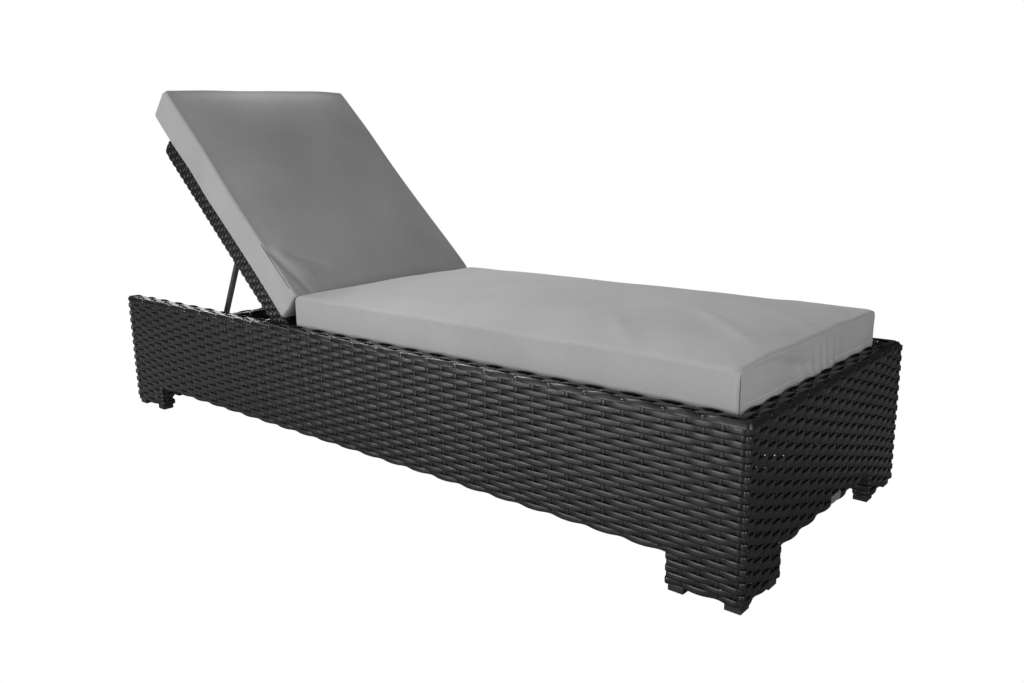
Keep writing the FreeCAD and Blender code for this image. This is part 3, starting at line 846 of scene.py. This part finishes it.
for sx in (-1, 1):
    # Inner vertical edge of a side wall's head end, above the lower head wall.
    corner_stake(posts, sx * (IX + CORNER), Y - CORNER, math.atan2(1, -sx), HEAD_TOP - 0.012,
                 WALL_TOP - EDGE_R, outer_parity(sx * HALF_X, HALF_Y) + 1, range(UPPER_ROWS))
posts.make("weave_corner_stakes", "base")
unders.make("weave_undersides", "base")

# ---------------------------------------------------------------- backrest weave

low_right, high_right = back_extent("back_wrap_right")
BACK_X = high_right[0]
BACK_START, BACK_END = low_right[1], high_right[1]
BACK_LOW, BACK_HIGH = low_right[2], high_right[2]
RAIL = high_right[0] - low_right[0]
RAIL_IN = BACK_X - RAIL
# The rails' ends are rounded, and their wrap swells below the tube's nominal one.
ROUND = 0.009
RAIL_SWELL = 0.0040
RAIL_CORNER = 0.0060
BAR_CORNER = 0.0085
u_axis, n_axis = tuple(BACK_U), tuple(BACK_N)
back_rows = int((BACK_END - BACK_START) / PITCH)
rail_shift = (BACK_END - BACK_START - back_rows * PITCH) / 2


def back_plane(u):
    """Plane across the backrest at u: a is x, b is n."""
    return Plane(HINGE + BACK_U * u, (1, 0, 0), n_axis, u_axis)


def long_plane(x):
    """Plane along the backrest at x: a is u, b is n."""
    return Plane(HINGE + Vector((x, 0, 0)), u_axis, n_axis, (1, 0, 0))


def end_shrink(distance):
    """How far a rounded end draws the section in, this far from the end."""
    if distance >= ROUND:
        return 0.0
    return ROUND - math.sqrt(max(ROUND ** 2 - (ROUND - distance) ** 2, 0.0))


def rail_swell(u):
    """How far a rail's wrap stands off below the tube's nominal wrap, none at its ends."""
    to_end = min(u - BACK_START, BACK_END - u)
    return RAIL_SWELL * float(smoothstep(0.0, 0.03, to_end))


def wrap_outline(x0, x1, n0, n1, d):
    """A wrapped tube's section, drawn in by d."""
    return [(x0 + d, n0 + d), (x1 - d, n0 + d), (x1 - d, n1 - d), (x0 + d, n1 - d)]


def backrest_stake(weave, section, place, plane, middles, sides, width, drawn_in=None):
    """A flat stake along a wrapped tube, whose section is in the plane through the hinge."""
    flat, side = section.at(np.array([section.nearest(place)]))
    along = np.linspace(middles[0], middles[-1], 2 * len(middles) - 1)
    move = STAKE_SWING * np.interp(along, middles, sides)
    if drawn_in:
        move = move - np.array([drawn_in(v) for v in along])
    normal = plane.turn(side)[0]
    centre = plane.lift(flat, 0.0) + along[:, None] * plane.w + move[:, None] * normal
    across = np.cross(plane.w, normal)
    normal, across = (np.tile(one, (len(along), 1)) for one in (normal, across))
    weave.band(centre, normal, across, width, STAKE_THICK, False, STRIP)


# Stakes along a side rail, as (x share, n share) of its section. The last one is on an edge.
SIDE_STAKES = [(1.0, 0.22), (1.0, 0.50), (1.0, 0.78), (0.78, 1.0), (0.50, 1.0), (0.22, 1.0),
               (0.0, 0.68), (0.0, 0.34), (0.24, 0.0), (0.50, 0.0), (0.76, 0.0), (0.97, 0.03)]
rail_middles = [BACK_START + rail_shift + PITCH * (row + 0.5) for row in range(back_rows)]
rail_low = BACK_LOW - RAIL_SWELL


def end_draw(u):
    return end_shrink(min(u - BACK_START, BACK_END - u))


for side, side_name in ((-1, "left"), (1, "right")):
    x0, x1 = sorted((side * RAIL_IN, side * BACK_X))
    places = [(side * (RAIL_IN + RAIL * a), rail_low + (BACK_HIGH - rail_low) * b)
              for a, b in SIDE_STAKES]
    weave = Weave()
    for row, u in enumerate(rail_middles):
        outline = wrap_outline(x0, x1, BACK_LOW - rail_swell(u), BACK_HIGH, FACE + end_draw(u))
        loop = Path(outline, RAIL_CORNER)
        stations = [(loop.nearest(place), row_side(k, row)) for k, place in enumerate(places)]
        strand(weave, loop, back_plane(u), 0.0, stations, shares=SHORT_RUN)
    weave.make("back_weave_rail_" + side_name, "backrest", replaces=["back_wrap_" + side_name])
    weave = Weave()
    section = Path(wrap_outline(x0, x1, rail_low, BACK_HIGH, FACE), RAIL_CORNER)
    for k, place in enumerate(places):
        sides = [-row_side(k, row) for row in range(back_rows)]
        backrest_stake(weave, section, place, back_plane(0.0), rail_middles, sides,
                       0.0075 if k < 11 else 0.006, end_draw)
    weave.make("back_stakes_rail_" + side_name, "backrest")

bar_rows = int(2 * RAIL_IN / PITCH)
bar_shift = (2 * RAIL_IN - bar_rows * PITCH) / 2
bar_middles = [-RAIL_IN + bar_shift + PITCH * (row + 0.5) for row in range(bar_rows)]
# Stakes along a cross bar, as (u share, n share) of its section, from its side towards the panel.
BAR_STAKES = [(0.25, 0.0), (0.50, 0.0), (0.75, 0.0), (1.0, 0.25), (1.0, 0.5), (1.0, 0.75),
              (0.75, 1.0), (0.5, 1.0), (0.25, 1.0), (0.0, 0.6)]
for end_name in ("bottom", "top"):
    low, high = back_extent("back_wrap_" + end_name)
    u0, u1 = low[1], high[1]
    first, last = (u0, u1) if end_name == "top" else (u1, u0)
    places = [(first + (last - first) * a, BACK_LOW + (BACK_HIGH - BACK_LOW) * b)
              for a, b in BAR_STAKES]
    section = Path(wrap_outline(u0, u1, BACK_LOW, BACK_HIGH, FACE), BAR_CORNER)
    weave = Weave()
    for row, x in enumerate(bar_middles):
        stations = [(section.nearest(place), row_side(k, row)) for k, place in enumerate(places)]
        strand(weave, section, long_plane(x), 0.0, stations, shares=SHORT_RUN)
    for k, place in enumerate(places):
        sides = [-row_side(k, row) for row in range(bar_rows)]
        backrest_stake(weave, section, place, long_plane(0.0), bar_middles, sides, 0.0085)
    weave.make(f"back_weave_{end_name}_bar", "backrest", replaces=["back_wrap_" + end_name])

# The two rail ends are closed by short strands over their rounded ends.
caps = Weave()
thirds = [BACK_LOW + (BACK_HIGH - BACK_LOW) * share for share in (0.25, 0.5, 0.75)]
for side in (-1, 1):
    for k in range(4):
        x = side * (RAIL_IN + 0.004 + PITCH * k)
        for u_end, out in ((BACK_START, -1), (BACK_END, 1)):
            drawn = end_shrink(max(BACK_X - abs(x) - 0.004, 0.0))
            edge = u_end - out * (FACE + drawn)
            near = edge - out * 0.013
            bottom, top = BACK_LOW + FACE + 0.001 + drawn, BACK_HIGH - FACE - 0.001 - drawn
            corners = [(near, bottom), (edge, bottom), (edge, top), (near, top)][::out]
            line = Path(corners, BAR_CORNER, closed=False)
            stations = [(line.nearest((edge, n)), row_side(i, k)) for i, n in enumerate(thirds)]
            strand(caps, line, long_plane(x), 0.0, stations, shares=SHORT_RUN)
caps.make("back_weave_rail_ends", "backrest")

# Panel between the rails: strands across, stakes up and down.
weave = Weave()
panel_mean = BACK_HIGH - FACE
panel_start, panel_end = BACK_START + RAIL - 0.004, BACK_END - RAIL + 0.004
panel_rows = int((panel_end - panel_start) / PITCH)
panel_shift = (panel_end - panel_start - panel_rows * PITCH) / 2
panel_middles = [panel_start + panel_shift + PITCH * (row + 0.5) for row in range(panel_rows)]
panel_x = np.linspace(-RAIL_IN + 0.022, RAIL_IN - 0.022, 14)
for row, u in enumerate(panel_middles):
    ends = [(-RAIL_IN - 0.004, panel_mean), (RAIL_IN + 0.004, panel_mean)]
    line = Path(ends, 0.003, closed=False)
    stations = [(line.nearest((x, panel_mean)), row_side(k, row)) for k, x in enumerate(panel_x)]
    strand(weave, line, back_plane(u), 0.0, stations, section=DOME * [1, -1])
for k, x in enumerate(panel_x):
    ends = [(panel_start - 0.003, panel_mean), (panel_end + 0.003, panel_mean)]
    line = Path(ends, 0.003, closed=False)
    stations = [(line.nearest((u, panel_mean)), row_side(k, row))
                for row, u in enumerate(panel_middles)]
    strand(weave, line, long_plane(x), 0.0, stations, **STAKE)
weave.make("back_weave_panel", "backrest", replaces=["back_panel_weave"])

# ---------------------------------------------------------------- cushions

# Both pads: the rounding of their sewn edges, and how far cloth is held and free beside them.
SEWN_EDGE = 0.006
HELD, FREE = 0.010, 0.034
# Height of each pad at its sewn edges, and how much its top is crowned above them.
SEAT_EDGE, SEAT_CROWN = 0.0925, 0.018
BACK_EDGE, BACK_CROWN = 0.0865, 0.014
CLOTH = {"quality": 5, "mass": 0.35, "tension_stiffness": 18, "compression_stiffness": 8,
         "shear_stiffness": 6, "bending_stiffness": 0.4, "use_pressure": True,
         "uniform_pressure_force": 4.0, "pin_stiffness": 0.6}
CLOTH_FRAMES = 20
# The most that the cloth's swelling may move a point.
MOST_SWELL = 0.012


def rounded_block(name, size):
    """A box with rounded edges about the origin."""
    bm = bmesh.new()
    bmesh.ops.create_cube(bm, size=1.0)
    bmesh.ops.scale(bm, vec=size, verts=bm.verts)
    bmesh.ops.bevel(bm, geom=list(bm.edges), offset=SEWN_EDGE, segments=3, profile=0.5,
                    affect="EDGES")
    mesh = bpy.data.meshes.new(name)
    bm.to_mesh(mesh)
    bm.free()
    return new_object(name, mesh)


def activate(piece):
    bpy.ops.object.select_all(action="DESELECT")
    piece.select_set(True)
    bpy.context.view_layer.objects.active = piece


def coordinates(piece):
    co = np.empty(len(piece.data.vertices) * 3, np.float32)
    piece.data.vertices.foreach_get("co", co)
    return co.reshape(-1, 3).astype(float)


def store(piece, co):
    piece.data.vertices.foreach_set("co", co.astype(np.float32).ravel())
    piece.data.update()


def inflate(piece, size, voxel):
    """Remeshes a block and blows its panels up as cloth, held along the box's sewn edges."""
    activate(piece)
    remesh = piece.modifiers.new("remesh", "REMESH")
    remesh.mode = "VOXEL"
    remesh.voxel_size = voxel
    bpy.ops.object.modifier_apply(modifier=remesh.name)
    start = coordinates(piece)
    gaps = np.sort(np.array(size) / 2 - np.abs(start), axis=1)
    from_edge = np.maximum(gaps[:, 1], 0)
    hold = 1 - smoothstep(HELD, FREE, from_edge)
    group = piece.vertex_groups.new(name="sewn_edges")
    for share in np.unique(np.round(hold, 1)):
        if share > 0:
            members = np.nonzero(np.round(hold, 1) == share)[0]
            group.add(members.tolist(), float(share), "REPLACE")
    cloth = piece.modifiers.new("cloth", "CLOTH")
    for key, value in CLOTH.items():
        setattr(cloth.settings, key, value)
    cloth.settings.effector_weights.gravity = 0.0
    cloth.settings.vertex_group_mass = group.name
    cloth.collision_settings.use_self_collision = False
    cloth.collision_settings.use_collision = False
    scene = bpy.context.scene
    cloth.point_cache.frame_start = 1
    cloth.point_cache.frame_end = CLOTH_FRAMES
    for number in range(1, CLOTH_FRAMES + 1):
        scene.frame_set(number)
    bpy.ops.object.modifier_apply(modifier=cloth.name)
    scene.frame_set(1)
    piece.vertex_groups.clear()
    moved = coordinates(piece) - start
    far = np.linalg.norm(moved, axis=1)
    scale = MOST_SWELL * np.tanh(far / MOST_SWELL) / np.maximum(far, 1e-9)
    store(piece, start + moved * scale[:, None])


seat_low, seat_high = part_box("seat_cushion")
back_low, back_high = back_extent("back_cushion")


def dome(a, b):
    """1 in the middle of a pad, 0 at its sides; a and b run from -1 to 1."""
    return (1 - np.abs(np.clip(a, -1, 1)) ** 2.2) * (1 - np.abs(np.clip(b, -1, 1)) ** 5.0)


def sharpen(co, half, push, reach=0.024):
    """Draws a pad's edges out to the box they were sewn to."""
    gaps = [half[axis] - np.abs(co[:, axis]) for axis in (0, 1, 2)]
    near = [smoothstep(reach, 0.0, gap) for gap in gaps]
    out = co.copy()
    for axis in (0, 1, 2):
        others = np.maximum(near[(axis + 1) % 3], near[(axis + 2) % 3])
        moved = np.abs(co[:, axis]) + push * others * near[axis]
        limit = np.maximum(half[axis], np.abs(co[:, axis]))
        out[:, axis] = np.sign(co[:, axis]) * np.minimum(moved, limit)
    return out


def make_cushion(name, low, high, crown, edge_height, voxel):
    """A box pad: flat underneath, walls nearly straight, crowned on top."""
    low, high = np.array(low), np.array(high)
    size = high - low
    box_size = np.array((size[0], size[1], edge_height))
    block = rounded_block(name, box_size)
    inflate(block, box_size, voxel)
    activate(block)
    subdivide = block.modifiers.new("subdivide", "SUBSURF")
    subdivide.levels = 1
    bpy.ops.object.modifier_apply(modifier=subdivide.name)
    co = sharpen(coordinates(block), box_size / 2, 0.0014)
    for axis in (0, 1):
        # Only the middle of a wall bulges, and by a few millimetres.
        over = np.maximum(np.abs(co[:, axis]) - box_size[axis] / 2, 0)
        room = 0.002 if axis == 0 else 0.004
        kept = room * np.tanh(over / room)
        co[:, axis] -= np.sign(co[:, axis]) * (over - kept)
    a, b = co[:, 0] / (size[0] / 2), co[:, 1] / (size[1] / 2)
    height = co[:, 2] / edge_height + 0.5
    top = smoothstep(0.30, 1.0, height)
    lift = crown * dome(a, b) * top
    z = co[:, 2] + edge_height / 2
    z = np.where(z < 0.0, z * 0.05, z)
    co[:, 2] = low[2] + 0.0008 + np.maximum(z, -0.0006) + lift
    co[:, 0] += (low[0] + high[0]) / 2
    co[:, 1] += (low[1] + high[1]) / 2
    store(block, co)
    block.data.polygons.foreach_set("use_smooth", [True] * len(block.data.polygons))
    block.data.materials.clear()
    block.data.materials.append(FABRIC)
    return block


def near_zero(value, width):
    return np.exp(-(value / width) ** 2)


def crease(a, b, start, end, width):
    """1 along the line from start to end in the plane of a and b, falling to 0 beside it."""
    start, end = np.array(start), np.array(end)
    run = end - start
    share = ((a - start[0]) * run[0] + (b - start[1]) * run[1]) / (run @ run)
    gap = ((a - start[0]) * run[1] - (b - start[1]) * run[0]) / np.linalg.norm(run)
    return near_zero(gap, width) * smoothstep(-0.15, 0.25, share) * smoothstep(1.15, 0.75, share)


# Folds on the pads' tops, as lines on them: (start, end, height, width).
SEAT_FOLDS = [((-0.20, -0.93), (-0.02, -0.70), 0.0035, 0.020),
              ((0.02, -0.95), (0.10, -0.74), 0.0030, 0.020),
              ((-0.30, -0.74), (-0.16, -0.60), 0.0022, 0.020),
              ((0.22, -0.93), (0.24, -0.78), 0.0024, 0.020)]
BACK_FOLDS = [((-0.318, 0.215), (-0.268, 0.045), -0.0050, 0.010),
              ((-0.296, 0.205), (-0.235, 0.090), 0.0030, 0.016),
              ((-0.290, 0.180), (-0.180, 0.120), -0.0030, 0.014)]


def folds(a, b, lines):
    return sum(height * crease(a, b, start, end, width) for start, end, height, width in lines)


def fold_seat(co):
    """Slack in the seat's cover: soft waves on top, gathers low on its foot face."""
    x, y, z = co.T.copy()
    up = (z - seat_low[2]) / SEAT_EDGE
    on_top = smoothstep(0.75, 1.0, up)
    foot = smoothstep(0.05, 0.0, y - seat_low[1]) * smoothstep(1.05, 0.85, up)
    left = smoothstep(0.03, 0.0, x - seat_low[0]) * smoothstep(1.0, 0.8, up)
    slack = 0.35 + 0.65 * smoothstep(-0.35, -0.85, y)
    wave = np.sin(38 * x + 17 * y + 0.8 * np.sin(13 * x)) + 0.7 * np.sin(21 * x - 31 * y + 1.1)
    z += on_top * slack * 0.0011 * wave
    z += on_top * folds(x, y, SEAT_FOLDS)
    gathers = near_zero(x - 0.03, 0.11) * smoothstep(0.95, 0.35, up)
    y -= foot * (0.0026 * gathers * np.sin(150 * x + 3.2 * up + 1.6 * np.sin(19 * x))
                 + 0.0022 * np.sin(27 * x + 1.3) * smoothstep(1.0, 0.5, up))
    y += foot * 0.0070 * crease(x, up, (-0.25, 0.95), (-0.05, 0.42), 0.05)
    x -= left * 0.0012 * np.sin(24 * y + 1.4 * np.sin(9 * y))
    # The cover is drawn in a little towards its far side.
    x -= 0.010 * smoothstep(-0.1, seat_high[0], x)
    return np.column_stack([x, y, z])


def fold_back(co):
    """Slack in the back's cover: a pinched lower corner, and its far side drawn in."""
    x, u, n = co.T.copy()
    up = (n - back_low[2]) / BACK_EDGE
    on_front = smoothstep(0.75, 1.0, up)
    left = smoothstep(0.03, 0.0, x - back_low[0]) * smoothstep(1.0, 0.8, up)
    wave = np.sin(17 * x + 13 * u + 0.9 * np.sin(11 * u)) + 0.6 * np.sin(29 * x - 15 * u + 0.4)
    n += on_front * 0.0010 * wave
    n += on_front * folds(x, u, BACK_FOLDS)
    x -= left * 0.0014 * np.sin(19 * u + 1.1 * np.sin(11 * u))
    x += left * 0.0045 * crease(u, up, (0.055, 0.35), (0.140, 1.0), 0.05)
    # The end beyond the frame is fuller in front.
    n += 0.008 * smoothstep(0.35, 0.79, u) * smoothstep(0.4, 1.0, up)
    x -= 0.024 * smoothstep(-0.05, back_high[0], x)
    u += 0.020 * smoothstep(-0.25, back_high[0], x) * smoothstep(0.1, 0.7, u)
    u += 0.006 * (1 - (x / back_high[0]) ** 2) * smoothstep(0.6, 0.79, u)
    return np.column_stack([x, u, n])


# A round section, as shares of the cord's size.
CORD = np.array([(math.cos(a) / 2, math.sin(a) / 2) for a in np.arange(8) * math.pi / 4])


def surface_line(pad, starts, direction):
    """Where rays from the starts meet the pad."""
    faces = [list(face.vertices) for face in pad.data.polygons]
    tree = BVHTree.FromPolygons(coordinates(pad).tolist(), faces)
    hits = [tree.ray_cast(Vector(start), Vector(direction)) for start in starts]
    found = [(hit[0], hit[1]) for hit in hits if hit[0] is not None]
    return np.array([tuple(f[0]) for f in found]), np.array([tuple(f[1]) for f in found])


def cord(weave, line, normal, size, sink):
    """A cord along a line on a pad, sunk into it: the welt, or a dark line of painted shade in a seam's groove."""
    kernel = np.array([0.25, 0.5, 0.25])
    for _ in range(3):
        padded = np.concatenate([line[:1], line, line[-1:]])
        line = sum(k * padded[i:i + len(line)] for i, k in enumerate(kernel))
    normal = normal / np.linalg.norm(normal, axis=1)[:, None]
    heading = np.gradient(line, axis=0)
    across = np.cross(heading, normal)
    across /= np.linalg.norm(across, axis=1)[:, None]
    weave.band(line - normal * sink, normal, across, size, size, False, CORD)


seat = make_cushion("cushion_seat", seat_low, seat_high, SEAT_CROWN, SEAT_EDGE, 0.0095)
store(seat, fold_seat(coordinates(seat)))
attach(seat, "base")
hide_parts("seat_cushion")

# Painted shade: a dark cord down each foot corner of the seat, standing in for the shadow in the seam's groove.
seams = Weave()
for side in (-1, 1):
    levels = np.linspace(seat_low[2] + 0.010, seat_low[2] + 0.086, 16)
    corner = (side * 0.62, seat_low[1] - 0.30)
    line, normal = surface_line(seat, [(*corner, level) for level in levels], (-side, 1, 0))
    cord(seams, line, normal, 0.0024, 0.0004)
seams.make("cushion_seat_corner_seam_shade", "base", SEAM_SHADE)
seams = Weave()
levels = np.linspace(seat_low[0] + 0.012, seat_high[0] - 0.030, 90)
starts = [(x, seat_low[1] - 0.2, WALL_TOP + 0.0065) for x in levels]
line, normal = surface_line(seat, starts, (0, 1, 0))
cord(seams, line, normal, 0.0036, 0.0002)
seams.make("cushion_seat_welt", "base", PIPING)

back_pad = make_cushion("cushion_back", back_low, back_high, BACK_CROWN, BACK_EDGE, 0.0085)
store(back_pad, fold_back(coordinates(back_pad)))


def turn_back(co):
    """Turns (x, along the backrest, off it) into the frame's directions."""
    return (co[:, :1] * np.array((1.0, 0, 0)) + co[:, 1:2] * np.array(u_axis)
            + co[:, 2:3] * np.array(n_axis))


def from_back(co):
    return np.array(HINGE) + turn_back(co)


# Painted shade: a dark cord along the lower part of the back pad's front left edge, standing in for the shadow in
# the seam's groove.
seams = Weave()
levels = np.linspace(0.075, 0.230, 30)
starts = [(back_low[0] - 0.2, u, back_low[2] + BACK_EDGE + 0.2) for u in levels]
line, normal = surface_line(back_pad, starts, (1, 0, -1))
cord(seams, from_back(line), turn_back(normal), 0.0022, 0.0004)
seams.make("cushion_back_seam_shade", "back_cushion", SEAM_SHADE)
store(back_pad, from_back(coordinates(back_pad)))
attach(back_pad, "back_cushion")
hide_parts("back_cushion")

# ---------------------------------------------------------------- materials of the CAD nodes

BY_SLOT = {"frame_tube": TUBE, "black_metal": BLACK, "fasteners": PLATED, "black_plastic": PLASTIC,
           "tag_metal": TAG, "woven_resin": DECK, "cushion_fabric": FABRIC}
slot_of = {entry["node"]: entry["material_slot"] for entry in frame["record"]["subparts"]}
for name, node in nodes.items():
    material = BY_SLOT[slot_of[name]]
    if node.data.materials:
        for index in range(len(node.data.materials)):
            node.data.materials[index] = material
    else:
        node.data.materials.append(material)

# ---------------------------------------------------------------- stage

# The camera sees a plain white ground and sky. What light they give back is set apart from that.
FLOOR_SIZE = 30.0
FLOOR_GREY = 0.30
SKY_LIGHT = 0.05


def shader(tree, kind, grey, strength=None):
    node = tree.nodes.new(kind)
    node.inputs["Color"].default_value = (grey, grey, grey, 1)
    if strength is not None:
        node.inputs["Strength"].default_value = strength
    return node.outputs[0]


def split_view(owner, output):
    """Empties a material or world, and gives it one shader for the camera and one for the rest."""
    owner.use_nodes = True
    tree = owner.node_tree
    tree.nodes.clear()
    out = tree.nodes.new(output)
    ray = tree.nodes.new("ShaderNodeLightPath")
    mix = tree.nodes.new("ShaderNodeMixShader")
    tree.links.new(ray.outputs["Is Camera Ray"], mix.inputs["Fac"])
    tree.links.new(mix.outputs["Shader"], out.inputs["Surface"])
    return tree, mix.inputs[1], mix.inputs[2]


def stage_floor():
    mesh = bpy.data.meshes.new("floor")
    corners = [(a * FLOOR_SIZE, b * FLOOR_SIZE, 0) for a, b in ((-1, -1), (1, -1), (1, 1), (-1, 1))]
    mesh.from_pydata(corners, [], [(0, 1, 2, 3)])
    material = bpy.data.materials.new("floor")
    tree, others, eye = split_view(material, "ShaderNodeOutputMaterial")
    tree.links.new(shader(tree, "ShaderNodeBsdfDiffuse", FLOOR_GREY), others)
    tree.links.new(shader(tree, "ShaderNodeEmission", 1, 1.0), eye)
    mesh.materials.append(material)
    floor = new_object("floor", mesh)


def stage_world():
    world = bpy.data.worlds.new("studio")
    bpy.context.scene.world = world
    tree, others, eye = split_view(world, "ShaderNodeOutputWorld")
    tree.links.new(shader(tree, "ShaderNodeBackground", 1, SKY_LIGHT), others)
    tree.links.new(shader(tree, "ShaderNodeBackground", 1, 1.0), eye)


def softbox(name, place, target, width, height, power):
    light = bpy.data.lights.new(name, "AREA")
    light.shape = "RECTANGLE"
    light.size = width
    light.size_y = height
    light.energy = power
    lamp = new_object(name, light)
    lamp.location = place
    aim = Vector(target) - Vector(place)
    lamp.rotation_euler = aim.to_track_quat("-Z", "Y").to_euler()


# The camera: where it stands, its lens, and how it is turned.
EYE = (-1.5759, -1.5524, 0.7523)
LENS_MM, SENSOR_MM = 30.64, 36.0
YAW, PITCH_DOWN, ROLL = math.radians(40.642), math.radians(-12.661), math.radians(-0.853)


def camera():
    data = bpy.data.cameras.new("camera")
    data.sensor_width = SENSOR_MM
    data.lens = LENS_MM
    data.clip_end = 100.0
    eye = new_object("camera", data)
    level = math.cos(PITCH_DOWN)
    forward = Vector((level * math.cos(YAW), level * math.sin(YAW), math.sin(PITCH_DOWN)))
    right = forward.cross(Vector((0, 0, 1))).normalized()
    up = right.cross(forward)
    rolled = right * math.cos(ROLL) + up * math.sin(ROLL)
    turn = Matrix((rolled, rolled.cross(forward), -forward)).transposed()
    eye.matrix_world = Matrix.Translation(EYE) @ turn.to_4x4()
    bpy.context.scene.camera = eye


stage_floor()
stage_world()
softbox("side_softbox", (-3.2, 0.2, 1.3), (-0.3, 0, 0.3), 2.4, 1.6, 14)
softbox("side_softbox_rear", (-3.2, 1.0, 1.3), (-0.3, 0.1, 0.3), 1.6, 1.4, 16)
softbox("side_strip_low", (-3.0, 0.45, 0.28), (-0.3, 0, 0.25), 1.9, 0.5, 39)
softbox("front_fill", (-1.6, -3.3, 1.1), (0, -0.4, 0.4), 1.6, 1.6, 50)
softbox("front_top", (-0.5, -3.4, 2.4), (0, 0, 0.5), 2.0, 1.4, 17)
softbox("rear_top_left", (-0.8, 2.1, 2.9), (0, -0.1, 0.4), 2.0, 1.4, 26)
softbox("rear_top", (1.0, 3.0, 2.9), (0, -0.2, 0.4), 2.4, 1.4, 180)
camera()
bpy.context.scene.view_settings.view_transform = "Standard"
bpy.context.scene.view_settings.look = "None"

bpy.context.view_layer.update()
